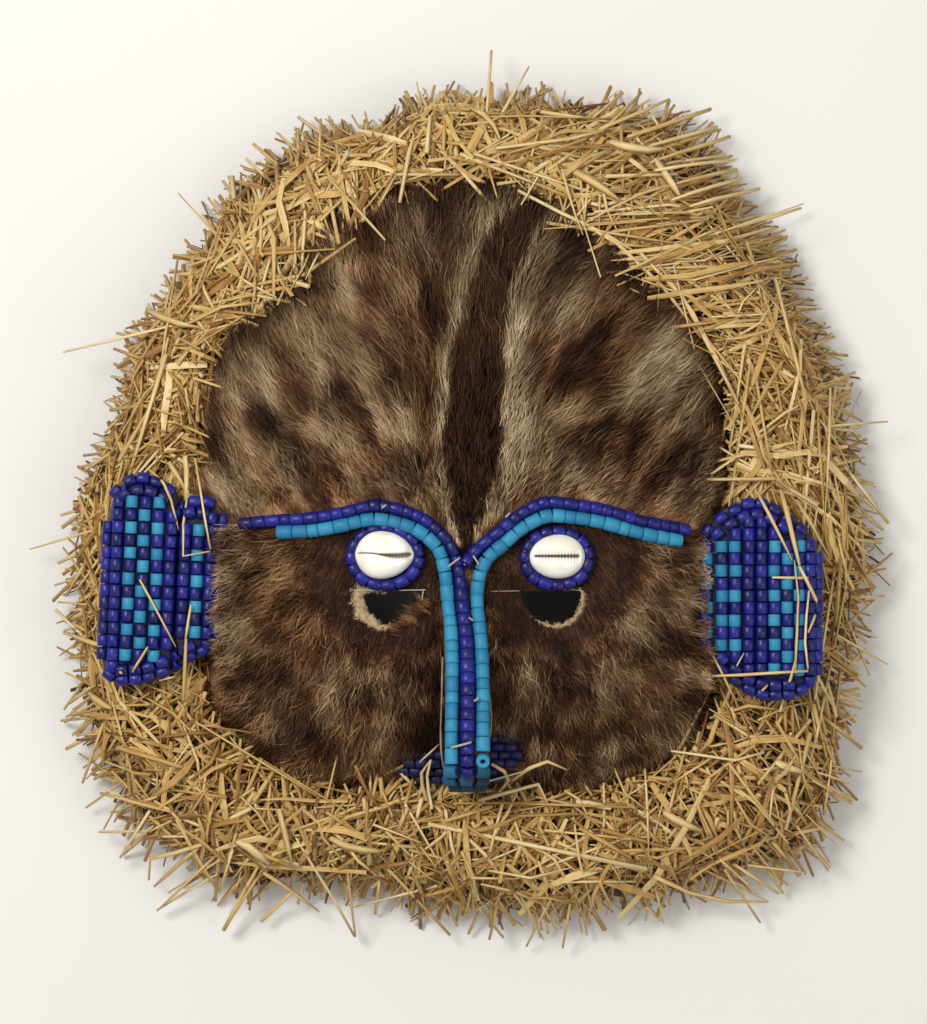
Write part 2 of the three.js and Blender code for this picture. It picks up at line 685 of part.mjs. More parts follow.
const cover = faceCover(GAP);
const earCutters = [earCutter(EARS.left), earCutter(EARS.right)];
const besideNose = [cover, ...earCutters, noseCutter(), cutter(mouthOutline(1))];
const noseSolid = cut(nose(), [cover]);
const seat = seatOn([faceCover(0), noseSolid]);

addPiece("face_shell", faceShell(), COLOURS.wood);
addPiece("forehead_pelt", cut(foreheadPelt(), [cover, ...earCutters]), COLOURS.foreheadFur);
addPiece("nose", noseSolid, COLOURS.wood);
addPiece("mouth", cut(mouth(), [cover]), COLOURS.darkBeads);
for (const [side, name] of [[-1, "left"], [1, "right"]]) {
  const eye = new THREE.Vector3(eyeX(side), EYE_Y, RIM_HEIGHT + FACE_RISE);
  const ear = EARS[name];
  addPiece(`${name}_cheek_pelt`, cut(cheekPelt(side), besideNose), COLOURS.cheekFur);
  addPiece(`${name}_cowrie`, cowrie(side, COWRIE_SIZES[name], seat), COLOURS.cowrie, eye);
  addPiece(`${name}_eye_ring`, eyeRing(side, COWRIE_SIZES[name], seat), COLOURS.darkBeads, eye);
  addPiece(`${name}_ear`, cut(earPad(ear), [cover]), COLOURS.darkBeads,
    new THREE.Vector3(ear.x, ear.y, EAR_UNDERSIDE));
}
for (const [name, string] of Object.entries(STRINGS)) {
  const isDark = name.includes("dark");
  const radius = isDark ? DARK_BEAD_RADIUS : LIGHT_BEAD_RADIUS;
  const colour = isDark ? COLOURS.darkBeads : COLOURS.lightBeads;
  addPiece(name, beadString(string.route, string.beads, radius, seat), colour);
}
addPiece("straw_fringe", cut(strawFringe(), earCutters), COLOURS.straw);

export default group;
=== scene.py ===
# %% [markdown]
# # A furred face mask with cowrie eyes, glass beads and a ruff of straw
#
# The mask lies on its back and the camera looks straight down on it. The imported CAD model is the
# frame: it fixes every size and place, and this script dresses it. Almost nothing on this mask is
# smooth: fur, straw and beads are thousands of small things, each too small to model by hand.
# So each kind of small thing gets one function that makes all its copies at once, as numpy
# arrays, and the look comes from how they are laid: which way the fur flows, how the straw
# crosses, where the light beads sit among the dark ones.

import bpy
import numpy as np
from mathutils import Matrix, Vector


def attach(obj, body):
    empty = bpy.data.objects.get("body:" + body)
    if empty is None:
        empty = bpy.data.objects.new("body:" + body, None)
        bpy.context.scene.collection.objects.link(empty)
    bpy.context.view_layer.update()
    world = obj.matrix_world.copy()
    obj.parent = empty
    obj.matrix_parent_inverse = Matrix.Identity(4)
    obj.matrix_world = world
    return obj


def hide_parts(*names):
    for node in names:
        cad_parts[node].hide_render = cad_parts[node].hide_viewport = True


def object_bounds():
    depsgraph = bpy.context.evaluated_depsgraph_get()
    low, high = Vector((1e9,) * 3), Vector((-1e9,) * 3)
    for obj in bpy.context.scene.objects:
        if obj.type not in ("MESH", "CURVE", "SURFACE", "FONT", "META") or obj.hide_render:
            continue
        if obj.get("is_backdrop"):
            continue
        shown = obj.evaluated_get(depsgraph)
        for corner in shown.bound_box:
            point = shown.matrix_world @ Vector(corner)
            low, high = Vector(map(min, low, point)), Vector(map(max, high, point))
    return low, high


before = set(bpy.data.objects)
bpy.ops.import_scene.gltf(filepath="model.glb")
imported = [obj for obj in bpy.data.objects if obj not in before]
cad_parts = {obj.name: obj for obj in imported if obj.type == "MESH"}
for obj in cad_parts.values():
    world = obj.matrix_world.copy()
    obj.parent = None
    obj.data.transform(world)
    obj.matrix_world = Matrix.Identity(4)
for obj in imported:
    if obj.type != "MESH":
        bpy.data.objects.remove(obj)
cad_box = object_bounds()
MM = 0.001
print("CAD nodes:", len(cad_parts), "box in mm:", [[round(v / MM, 1) for v in c] for c in cad_box])

# %% [markdown]
# ## Camera, floor and light
#
# The photograph was taken straight on from some way off, so a long lens high above the mask gives
# the same view. All lengths below are millimetres, and they become metres when a mesh is made.

# %% Camera
PHOTO_SIZE = (927, 1024)
PIXEL = 0.40
PHOTO_ORIGIN = (458.5, 500.0)
VIEW_PLANE = 45.0
CAMERA_DISTANCE = 1600.0
SENSOR = 36.0
CLIP_END = 10.0


def add_camera():
    """Looks straight down on the photo's middle; the lens makes its long side cover 1024 pixels."""
    data = bpy.data.cameras.new("camera")
    data.sensor_width = SENSOR
    data.lens = SENSOR * CAMERA_DISTANCE / (PHOTO_SIZE[1] * PIXEL)
    data.clip_end = CLIP_END
    camera = bpy.data.objects.new("camera", data)
    middle_x = (PHOTO_SIZE[0] / 2 - PHOTO_ORIGIN[0]) * PIXEL
    middle_y = (PHOTO_ORIGIN[1] - PHOTO_SIZE[1] / 2) * PIXEL
    camera.location = (middle_x * MM, middle_y * MM, (VIEW_PLANE + CAMERA_DISTANCE) * MM)
    bpy.context.scene.collection.objects.link(camera)
    bpy.context.scene.camera = camera
    return data.lens


print("lens:", round(add_camera(), 1), "mm")

# %% [markdown]
# ### Light
#
# A real photographer would light this from one side with a large soft box. Here a small area lamp
# high on the left draws the hairs and the straws, a wide one on the right softens its shadows, and
# an even grey sky fills the rest.

# %% Light
KEY_LIGHT = {"place": (-0.62, 0.42, 1.25), "size": 0.42, "power": 16.0}
FILL_LIGHT = {"place": (0.85, -0.35, 1.1), "size": 0.9, "power": 5.0}
SKY_COLOUR = (0.9, 0.9, 0.9)
SKY_STRENGTH = 0.5


def add_area_light(name, place, size, power):
    """A square lamp at a place in metres, turned to face the mask."""
    data = bpy.data.lights.new(name, "AREA")
    data.size = size
    data.energy = power
    lamp = bpy.data.objects.new(name, data)
    lamp.location = place
    away = lamp.location.normalized()
    lamp.rotation_mode = "QUATERNION"
    lamp.rotation_quaternion = away.to_track_quat("Z", "Y")
    bpy.context.scene.collection.objects.link(lamp)


add_area_light("key_light", **KEY_LIGHT)
add_area_light("fill_light", **FILL_LIGHT)
world = bpy.data.worlds.new("studio")
world.use_nodes = True
sky = world.node_tree.nodes["Background"]
sky.inputs["Color"].default_value = (*SKY_COLOUR, 1)
sky.inputs["Strength"].default_value = SKY_STRENGTH
bpy.context.scene.world = world
bpy.context.scene.view_settings.view_transform = "Standard"

# %% [markdown]
# ## Helpers for arrays
#
# A surface is a grid of points, and a face joins four neighbours on it. A closed sheet is two
# such grids, one above the other, with walls between their edges. These few helpers are all
# that the larger pieces need.

# %% Number helpers


def unit(vectors):
    """Each vector divided by its own length."""
    length = np.linalg.norm(vectors, axis=-1, keepdims=True)
    return vectors / np.maximum(length, 1e-9)


def eased(value, low, high):
    """0 below low, 1 above high, and 3t^2 - 2t^3 of the share t between them."""
    share = np.clip((value - low) / (high - low), 0, 1)
    return share * share * (3 - 2 * share)


def soft_noise(x, y, size, seed):
    """A smooth random field from 0 to 1: lattice values of that spacing, eased between corners."""
    table = np.random.default_rng(seed).random((64, 64))
    column, row = np.floor(x / size).astype(int), np.floor(y / size).astype(int)
    across, along = eased(x / size - column, 0, 1), eased(y / size - row, 0, 1)
    corner = lambda i, j: table[(row + j) % 64, (column + i) % 64]
    near = corner(0, 0) * (1 - across) + corner(1, 0) * across
    far = corner(0, 1) * (1 - across) + corner(1, 1) * across
    return near * (1 - along) + far * along


def smooth_route(points, count):
    """Points spaced evenly along a curve that passes through the given ones (centripetal spline)."""
    points = np.asarray(points, float)
    ends = [2 * points[0] - points[1], *points, 2 * points[-1] - points[-2]]
    fine = []
    for p0, p1, p2, p3 in zip(ends, ends[1:], ends[2:], ends[3:]):
        knots = np.cumsum([0, *(np.linalg.norm(b - a) ** 0.5 for a, b in ((p0, p1), (p1, p2), (p2, p3)))])
        t = np.linspace(knots[1], knots[2], 24, endpoint=False)[:, None]
        blend = lambda a, b, ta, tb: (a * (tb - t) + b * (t - ta)) / (tb - ta)
        first = blend(p0, p1, knots[0], knots[1])
        second = blend(p1, p2, knots[1], knots[2])
        third = blend(p2, p3, knots[2], knots[3])
        left = blend(first, second, knots[0], knots[2])
        right = blend(second, third, knots[1], knots[3])
        fine.append(blend(left, right, knots[1], knots[2]))
    return spaced(np.concatenate([*fine, points[-1:]]), count)


def polar(centre, reach, angle):
    """Flat places at distances and angles from a centre."""
    return np.stack(np.broadcast_arrays(centre[0] + reach * np.cos(angle), centre[1] + reach * np.sin(angle)), -1)


def spaced(path, count):
    """The same path as that many points an equal length apart."""
    steps = np.linalg.norm(np.diff(path, axis=0), axis=1)
    length = np.concatenate([[0], np.cumsum(steps)])
    wanted = np.linspace(0, length[-1], count)
    return np.stack([np.interp(wanted, length, path[:, axis]) for axis in range(path.shape[1])], axis=1)


def inside(x, y, corners):
    """True where a point lies in a polygon: a ray from it crosses the outline an odd number of times."""
    crossings = np.zeros(np.shape(x), int)
    for (ax, ay), (bx, by) in zip(corners, np.roll(corners, -1, axis=0)):
        spans = (ay > y) != (by > y)
        crossings += spans & (x < ax + (y - ay) * (bx - ax) / (by - ay + 1e-12))
    return crossings % 2 == 1


# %% [markdown]
# ### From arrays to meshes
#
# A shape can be typed in point by point, or drawn with operators, or handed over as whole arrays.
# Arrays are chosen, because one call then makes a hundred thousand hairs. Every piece goes through
# the same function, which also hides the CAD nodes that the piece stands for.

# %% Mesh helpers


def grid_faces(rows, columns, closed_rows=False, closed_columns=False):
    """Faces of four corners between neighbours on a grid, which may close on itself either way."""
    row = np.arange(rows if closed_rows else rows - 1)[:, None]
    column = np.arange(columns if closed_columns else columns - 1)[None, :]
    next_row, next_column = (row + 1) % rows, (column + 1) % columns
    corners = [row * columns + column, row * columns + next_column]
    corners += [next_row * columns + next_column, next_row * columns + column]
    return np.stack(np.broadcast_arrays(*corners), axis=-1).reshape(-1, 4)


def fans(sides, rings):
    """Triangles that close both ends of a grid of rings, round two points that come after its own."""
    ring, count = np.arange(sides), sides * rings
    after = np.roll(ring, -1)
    start = np.stack([np.full(sides, count), after, ring], axis=1)
    last = count - sides
    end = np.stack([np.full(sides, count + 1), last + ring, last + after], axis=1)
    return np.concatenate([start, end])


def copies_of(faces, points_each, count):
    """The faces of one small shape, repeated for that many copies of its points."""
    offsets = np.arange(count)[:, None, None] * points_each
    return (faces[None] + offsets).reshape(-1, faces.shape[1])


def closed_sheet(top, bottom, is_ring=False):
    """Points and faces of a sheet between two grids, with walls round its edges. On a ring, the
    columns close on themselves, so only the first and last rows get walls."""
    rows, columns = top.shape[:2]
    count = rows * columns
    upper = grid_faces(rows, columns, closed_columns=is_ring)
    faces = [upper, upper[:, ::-1] + count]
    index = np.arange(count).reshape(rows, columns)
    around = (lambda line: (line, np.roll(line, -1))) if is_ring else (lambda line: (line[:-1], line[1:]))
    edges = [index[0][::-1], index[-1]]
    if not is_ring:
        edges += [index[:, 0], index[:, -1][::-1]]
    for line in edges:
        here, there = around(line)
        faces.append(np.stack([here, there, there + count, here + count], axis=-1))
    points = np.concatenate([top.reshape(-1, 3), bottom.reshape(-1, 3)])
    return outward(points, np.concatenate(faces))


def outward(points, faces):
    """Turns all faces over if the volume they enclose comes out negative."""
    first = points[faces[:, 0]]
    volume = 0
    for second, third in ((1, 2), (2, 3)):
        volume += np.sum(first * np.cross(points[faces[:, second]], points[faces[:, third]]))
    return points, faces if volume > 0 else faces[:, ::-1]


triangle_total = 0


def add_piece(name, points, faces, materials, nodes, slot=None, is_smooth=True, attributes=None, finish=None):
    """A mesh of points in millimetres and one or more arrays of faces, which stands for CAD nodes.
    is_smooth is one value for all faces or one a face, attributes holds one number or vector a point,
    and finish one material number a face."""
    global triangle_total
    groups = faces if isinstance(faces, list) else [faces]
    corners = np.concatenate([group.ravel() for group in groups]).astype(np.int32)
    sizes = np.concatenate([np.full(len(group), group.shape[1]) for group in groups])
    mesh = bpy.data.meshes.new(name)
    mesh.vertices.add(len(points))
    mesh.vertices.foreach_set("co", (points * MM).astype(np.float32).ravel())
    mesh.loops.add(len(corners))
    mesh.loops.foreach_set("vertex_index", corners)
    mesh.polygons.add(len(sizes))
    mesh.polygons.foreach_set("loop_start", (np.cumsum(sizes) - sizes).astype(np.int32))
    mesh.polygons.foreach_set("use_smooth", np.zeros(len(sizes), bool) | is_smooth)
    for material in materials:
        mesh.materials.append(material)
    if finish is not None:
        mesh.polygons.foreach_set("material_index", np.asarray(finish, np.int32))
    for key, values in (attributes or {}).items():
        is_vector = values.ndim == 2
        layer = mesh.attributes.new(key, "FLOAT_VECTOR" if is_vector else "FLOAT", "POINT")
        layer.data.foreach_set("vector" if is_vector else "value", values.astype(np.float32).ravel())
    mesh.update(calc_edges=True)
    piece = bpy.data.objects.new(name, mesh)
    bpy.context.scene.collection.objects.link(piece)
    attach(piece, "root")
    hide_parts(*nodes)
    triangles = int(np.sum(sizes - 2))
    triangle_total += triangles
    print(f"{name}: {triangles} triangles, {triangle_total} in all")
    return piece


# %% [markdown]
# ## The form of the face
#
# The carved face is a dome over a closed outline: a rounder half for the crown and a squarer one
# for the chin. Each half is a superellipse, |x/a|^n + |y/b|^n = 1, and a larger n is squarer. Fur,
# beads and shells all rest on the dome, so its height is a function that every piece can ask.

# %% Face outline and height
FACE_CENTRE = (1.0, 2.0)
FACE_HALF_WIDTH = 108.0
CROWN_HEIGHT, CHIN_DEPTH = 129.0, 121.0
CROWN_SQUARENESS, CHIN_SQUARENESS = 2.25, 3.6
RIM_HEIGHT = 30.0
FACE_RISE = 32.0
DOME_FULLNESS = 2.8
SHELL_WALL = 5.0
EYE_AXIS_X, EYE_OFFSET, EYE_Y = 4.9, 34.0, -22.6
SOCKET_DEPTH, SOCKET_SPREAD = 3.0, 15.0


def outline_radius(angle):
    """Distance from the face's centre to its outline along an angle."""
    is_crown = np.sin(angle) >= 0
    height = np.where(is_crown, CROWN_HEIGHT, CHIN_DEPTH)
    power = np.where(is_crown, CROWN_SQUARENESS, CHIN_SQUARENESS)
    across = (np.abs(np.cos(angle)) / FACE_HALF_WIDTH) ** power
    along = (np.abs(np.sin(angle)) / height) ** power
    return (across + along) ** (-1 / power)


def outline_share(x, y):
    """How far out a point lies: 0 at the face's centre and 1 on its outline."""
    angle = np.arctan2(y - FACE_CENTRE[1], x - FACE_CENTRE[0])
    return np.hypot(x - FACE_CENTRE[0], y - FACE_CENTRE[1]) / outline_radius(angle)


def eye_x(side):
    """The middle of an eye: side is -1 for the viewer's left one and 1 for the right one."""
    return EYE_AXIS_X + side * EYE_OFFSET


def face_height(x, y):
    """Rim height, plus a rise times the root of 1 - share^2.8, less a shallow socket at each eye."""
    share = np.minimum(1, outline_share(x, y))
    dome = RIM_HEIGHT + FACE_RISE * np.sqrt(1 - share**DOME_FULLNESS)
    for side in (-1, 1):
        away = (x - eye_x(side)) ** 2 + (y - EYE_Y + SOCKET_SPREAD / 3) ** 2
        dome = dome - SOCKET_DEPTH * np.exp(-away / (2 * SOCKET_SPREAD**2))
    return dome


print("face height at its centre:", round(float(face_height(1.0, 2.0)), 1), "mm")

# %% [markdown]
# ### The nose's form
#
# The nose is a ridge on the dome. It starts flush between the brows and climbs toward its tip. Beads
# will lie along it, so its height too is a function of place.

# %% Nose form
NOSE_TOP_Y, NOSE_FOOT_Y, NOSE_TIP_Y = -34.0, -92.0, -112.0
NOSE_TOP_X, NOSE_TIP_X = 1.6, 3.7
NOSE_TOP_WIDTH, NOSE_TIP_WIDTH = 15.0, 17.6
NOSE_BRIDGE_RISE, NOSE_TIP_RISE, NOSE_RISE_POWER = 1.0, 36.0, 1.3
NOSE_CROWN = 2.5
NOSE_TIP_START, NOSE_TIP_FALL = 0.88, 9.0
NOSE_TIP_UNDERSIDE = 12.0


def nose_along(y):
    """0 at the top of the nose and 1 at its tip."""
    return np.clip((NOSE_TOP_Y - y) / (NOSE_TOP_Y - NOSE_TIP_Y), 0, 1)


def nose_middle(along):
    """The ridge's x, which leans a little to the right on its way to the tip."""
    return NOSE_TOP_X + (NOSE_TIP_X - NOSE_TOP_X) * along


def nose_half(along):
    """Half the nose's width, at a share of the way to its tip."""
    return (NOSE_TOP_WIDTH + (NOSE_TIP_WIDTH - NOSE_TOP_WIDTH) * along) / 2


def nose_across(x, y):
    """-1 and 1 at the nose's sides, 0 on its ridge."""
    along = nose_along(y)
    return (x - nose_middle(along)) / nose_half(along)


def nose_top(x, y):
    """Height of the nose: it rises as along^1.3, is crowned across and drops at the tip."""
    along = nose_along(y)
    rise = NOSE_BRIDGE_RISE + (NOSE_TIP_RISE - NOSE_BRIDGE_RISE) * along**NOSE_RISE_POWER
    tip_share = np.maximum(0, along - NOSE_TIP_START) / (1 - NOSE_TIP_START)
    crown = NOSE_CROWN * np.minimum(1, nose_across(x, y) ** 2)
    return face_height(NOSE_TOP_X, y) + rise - NOSE_TIP_FALL * tip_share**2 - crown


# %% [markdown]
# ### Eye holes
#
# The wearer looks out through two holes under the shell eyes. The same outline cuts the wood and the
# hide and keeps the fur away, so it is worked out once.

# %% Eye holes
HOLE_WIDTH, HOLE_DEPTH, HOLE_TOP_Y = 24.4, 13.6, -36.0
HOLE_FROM_EYE, HOLE_LEAN = -2.6, 0.16


def eye_hole(side, growth=0.0, count=96):
    """Outline of an eye hole: flat above and half an ellipse below, which leans outward."""
    centre = eye_x(side) + side * HOLE_FROM_EYE
    angle = np.linspace(np.pi, 2 * np.pi, count)
    across = (HOLE_WIDTH / 2 + growth) * np.cos(angle)
    down = (HOLE_DEPTH + growth) * np.sin(angle)
    return np.stack([centre + across - side * HOLE_LEAN * down, HOLE_TOP_Y + growth + down], axis=1)


# %% [markdown]
# ### Where the ears are
#
# Each ear is a flat cushion, a little tilted. Other pieces have to know where it lies: fur stops at
# it, and straw has to pass under it. So its box is a function too, which says how far inside it a
# place is.

# %% Ears
EARS = {
    "left": {"middle": (-117.5, -32.0), "size": (47.0, 83.0), "tilt": -2.5},
    "right": {"middle": (120.2, -39.6), "size": (46.0, 79.0), "tilt": 0.0},
}
EAR_UNDERSIDE = 43.0


def in_ear_frame(ear, x, y):
    """A place in an ear's own frame: across and along from its middle, its tilt undone."""
    turn = np.radians(ear["tilt"])
    dx, dy = x - ear["middle"][0], y - ear["middle"][1]
    return dx * np.cos(turn) + dy * np.sin(turn), dy * np.cos(turn) - dx * np.sin(turn)


def over_ears(x, y, margin):
    """1 well inside an ear's rounded box grown by a margin, falling smoothly to 0 outside it."""
    cover = np.zeros(np.shape(x))
    for ear in EARS.values():
        across, along = in_ear_frame(ear, x, y)
        half = (ear["size"][0] / 2 + margin, ear["size"][1] / 2 + margin)
        far = ((np.abs(across) / half[0]) ** 6 + (np.abs(along) / half[1]) ** 6) ** (1 / 6)
        cover = np.maximum(cover, 1 - eased(far, 0.94, 1.08))
    return cover


for name, ear in EARS.items():
    print(name, "ear:", ear["size"], "mm, its middle at", ear["middle"])

# %% [markdown]
# ## Finishes
#
# Every finish is worked out by shader nodes. Fur and straw read numbers that their meshes carry:
# how light a hair is, how far along it a point lies, where the fibres of a stem run. Two effects
# turn up in several finishes and are built once as node groups: streaks, which are noise drawn
# out along the fibres, and patches, which are broad blots of dirt or fading.

# %% Node helpers


def colour(red, green, blue):
    """A colour of 0 to 255, as it looks on a screen, as the linear values that nodes want."""
    share = np.array([red, green, blue]) / 255
    linear = np.where(share <= 0.04045, share / 12.92, ((share + 0.055) / 1.055) ** 2.4)
    return (*(float(value) for value in linear), 1.0)


def put(tree, kind, inputs=None, **settings):
    """Adds a node, sets its properties, and gives its inputs plain values or links."""
    node = tree.nodes.new("ShaderNode" + kind)
    for key, value in settings.items():
        setattr(node, key, value)
    for key, value in (inputs or {}).items():
        if isinstance(value, bpy.types.NodeSocket):
            tree.links.new(value, node.inputs[key])
        else:
            node.inputs[key].default_value = value
    return node


def ramp(tree, factor, stops):
    """A colour that passes through the given stops of (place, colour) as the factor grows."""
    node = put(tree, "ValToRGB", {"Fac": factor})
    while len(node.color_ramp.elements) < len(stops):
        node.color_ramp.elements.new(0.5)
    for element, (place, value) in zip(node.color_ramp.elements, stops):
        element.position = place
        element.color = value
    return node.outputs["Color"]


def mixed(tree, factor, first, second):
    """Two colours mixed by a factor. A Mix node has sockets for every kind of value; these are the
    numbers of those for colours."""
    return put(tree, "Mix", {0: factor, 6: first, 7: second}, data_type="RGBA").outputs[2]


def maths(tree, operation, first, second=0.0, clamp=False):
    """One sum on two values."""
    return put(tree, "Math", {0: first, 1: second}, operation=operation, use_clamp=clamp).outputs[0]


def scaled(tree, value, low, high, to_low, to_high):
    """A value moved from one range to another and held inside it."""
    inputs = {"Value": value, "From Min": low, "From Max": high, "To Min": to_low, "To Max": to_high}
    return put(tree, "MapRange", inputs).outputs["Result"]


def attribute(tree, name, output="Fac"):
    """What a mesh carries under that name."""
    return put(tree, "Attribute", attribute_name=name).outputs[output]


def object_place(tree):
    """A point's place on the mask, in metres."""
    return put(tree, "TexCoord").outputs["Object"]


def new_group(name, inputs, output):
    """An empty node group with float or vector inputs and one output."""
    tree = bpy.data.node_groups.new(name, "ShaderNodeTree")
    for key, (kind, value) in inputs.items():
        socket = tree.interface.new_socket(key, in_out="INPUT", socket_type="NodeSocket" + kind)
        socket.default_value = value
    tree.interface.new_socket(output, in_out="OUTPUT", socket_type="NodeSocketFloat")
    return tree, tree.nodes.new("NodeGroupInput"), tree.nodes.new("NodeGroupOutput")


def use_group(tree, group, inputs):
    """A node group placed in a tree with its own values."""
    return put(tree, "Group", inputs, node_tree=group).outputs[0]


# %% [markdown]
# ### Streaks and patches
#
# Fibres and grain are long and thin; dirt and fading are broad and blurred. Both come from the same
# noise, read at a stretched place in one group and cut off at a level in the other. A group is built
# once, and each material places it with its own values.

# %% Streaks and patches
def build_streaks():
    """Noise on a place stretched by a vector scale, its middle tones spread out by a contrast."""
    inputs = {"Place": ("Vector", (0, 0, 0)), "Scale": ("Vector", (1, 1, 1)), "Contrast": ("Float", 2.0)}
    tree, into, out = new_group("streaks", inputs, "Mask")
    stretched = put(tree, "VectorMath", {0: into.outputs["Place"], 1: into.outputs["Scale"]}, operation="MULTIPLY")
    noise = put(tree, "TexNoise", {"Vector": stretched.outputs[0], "Scale": 1.0, "Detail": 2.0, "Roughness": 0.6})
    centred = maths(tree, "SUBTRACT", noise.outputs["Fac"], 0.5)
    spread = maths(tree, "MULTIPLY", centred, into.outputs["Contrast"])
    tree.links.new(maths(tree, "ADD", spread, 0.5, clamp=True), out.inputs["Mask"])
    return tree


def build_patches():
    """Broad noise of a size in metres, cut to a mask that covers a share of the surface."""
    inputs = {"Place": ("Vector", (0, 0, 0)), "Size": ("Float", 0.02), "Cover": ("Float", 0.5)}
    tree, into, out = new_group("patches", inputs, "Mask")
    scale = maths(tree, "DIVIDE", 1.0, into.outputs["Size"])
    noise = put(tree, "TexNoise", {"Vector": into.outputs["Place"], "Scale": scale, "Detail": 2.0})
    level = maths(tree, "SUBTRACT", 1.0, into.outputs["Cover"])
    above = maths(tree, "SUBTRACT", noise.outputs["Fac"], level)
    tree.links.new(maths(tree, "MULTIPLY_ADD", above, 5.0, clamp=True), out.inputs["Mask"])
    return tree


STREAKS = build_streaks()
PATCHES = build_patches()


def new_material(name, **values):
    """A material and its tree, with plain values set on its Principled shader."""
    material = bpy.data.materials.new(name)
    material.use_nodes = True
    shader = material.node_tree.nodes["Principled BSDF"]
    for key, value in values.items():
        shader.inputs[key.replace("_", " ").title().replace("Ior", "IOR")].default_value = value
    return material, material.node_tree, shader


def paint(tree, shader, base=None, roughness=None, height=None, distance=0.0003, strength=1.0):
    """Links what varies over the surface to the shader."""
    if base is not None:
        tree.links.new(base, shader.inputs["Base Color"])
    if roughness is not None:
        tree.links.new(roughness, shader.inputs["Roughness"])
    if height is not None:
        bump = put(tree, "Bump", {"Height": height, "Distance": distance, "Strength": strength})
        tree.links.new(bump.outputs["Normal"], shader.inputs["Normal"])


# %% [markdown]
# ### Fur and hide
#
# A hair is dark at its root and lightens toward its tip, and whole locks of fur differ in tone.
# The mesh says how light each hair is (tone), how red it is (warmth) and how far along it a point
# lies (along). The node tree turns the three into a colour: one ramp for grey-brown hair, one for
# red-brown hair, mixed by warmth.

# %% Fur
GREY_HAIR = [(0.0, colour(34, 19, 12)), (0.36, colour(102, 74, 50)), (0.7, colour(188, 160, 120)),
             (1.0, colour(230, 210, 174))]
RED_HAIR = [(0.0, colour(36, 17, 9)), (0.36, colour(104, 62, 36)), (0.7, colour(184, 138, 94)),
            (1.0, colour(218, 186, 144))]


def fur_material(name, contrast):
    """Hair that lightens along its length; contrast is how much the tip gains on the root."""
    material, tree, shader = new_material(name, roughness=0.62, ior=1.4, specular_ior_level=0.28)
    gain = scaled(tree, attribute(tree, "along"), 0.0, 1.0, -contrast, contrast)
    tone = maths(tree, "ADD", attribute(tree, "tone"), gain, clamp=True)
    grey, red = ramp(tree, tone, GREY_HAIR), ramp(tree, tone, RED_HAIR)
    paint(tree, shader, base=mixed(tree, attribute(tree, "warmth"), grey, red))
    return material


def hide_material(name, edge):
    """Hide seen between the hairs, in the fur's own tones: fine streaks along the fur's lie, and a
    pale cut edge at the holes."""
    material, tree, shader = new_material(name, roughness=0.75, ior=1.4, specular_ior_level=0.2)
    place = attribute(tree, "lie", "Vector")
    streak = use_group(tree, STREAKS, {"Place": place, "Scale": (1500, 1500, 130), "Contrast": 2.6})
    spread = scaled(tree, streak, 0, 1, -0.24, 0.1)
    tone = maths(tree, "ADD", attribute(tree, "tone"), spread, clamp=True)
    hair = mixed(tree, attribute(tree, "warmth"), ramp(tree, tone, GREY_HAIR), ramp(tree, tone, RED_HAIR))
    paint(tree, shader, base=mixed(tree, attribute(tree, "edge"), hair, edge), height=streak)
    return material


FOREHEAD_FUR = fur_material("forehead_fur", 0.2)
CHEEK_FUR = fur_material("cheek_fur", 0.2)
FOREHEAD_HIDE = hide_material("forehead_hide", colour(150, 130, 100))
CHEEK_HIDE = hide_material("cheek_hide", colour(168, 146, 110))

# %% [markdown]
# ### Glass beads and cowries
#
# The beads are drawn glass, cut short and polished by heat: opaque, glossy, each a little different
# in shade from the next. The mesh gives each bead a random number, and the material turns it into
# a slight shift of colour. Dust in the holes and between the beads dulls them here and there.

# %% Beads and shells


def bead_material(name, in_painted_shade, deep, plain, pale, roughness):
    """Opaque glass: the shade differs from bead to bead and is clouded a little by dust. The darkest
    shades are a painted shade, and there the glass is also rougher."""
    material, tree, shader = new_material(name, roughness=roughness, ior=1.5, specular_ior_level=0.38)
    # Below 0.25 the ramp is a painted shade; only the beads on the nose tip reach it.
    glass = ramp(tree, attribute(tree, "shade"), [(0.0, in_painted_shade), (0.25, deep), (0.65, plain), (1.0, pale)])
    streak = use_group(tree, STREAKS, {"Place": object_place(tree), "Scale": (700, 700, 700), "Contrast": 1.5})
    dust = use_group(tree, PATCHES, {"Place": object_place(tree), "Size": 0.006, "Cover": 0.42})
    clouded = mixed(tree, maths(tree, "MULTIPLY", dust, 0.05), glass, colour(96, 92, 104))
    rough = scaled(tree, streak, 0.0, 1.0, roughness * 0.7, roughness * 1.5)
    rough = maths(tree, "ADD", rough, scaled(tree, attribute(tree, "shade"), 0.0, 0.25, 0.3, 0.0), clamp=True)
    paint(tree, shader, base=clouded, roughness=rough, height=streak, distance=0.00006)
    return material


DARK_BEAD = bead_material("dark_bead", colour(4, 5, 40), colour(9, 10, 76), colour(15, 17, 104),
                          colour(29, 31, 126), 0.38)
# The mouth's glass is darker than the dark beads': a painted shade, as the mouth lies in shadow under the nose.
MOUTH_BEAD_IN_PAINTED_SHADE = bead_material("mouth_bead_in_painted_shade", colour(3, 3, 22), colour(5, 5, 38), colour(9, 9, 58), colour(14, 14, 76),
                           0.5)
# The first colour of the light glass is the painted shade of the beads under the nose tip.
LIGHT_BEAD = bead_material("light_bead", colour(8, 40, 60), colour(28, 110, 148), colour(37, 126, 162),
                           colour(49, 138, 169), 0.52)


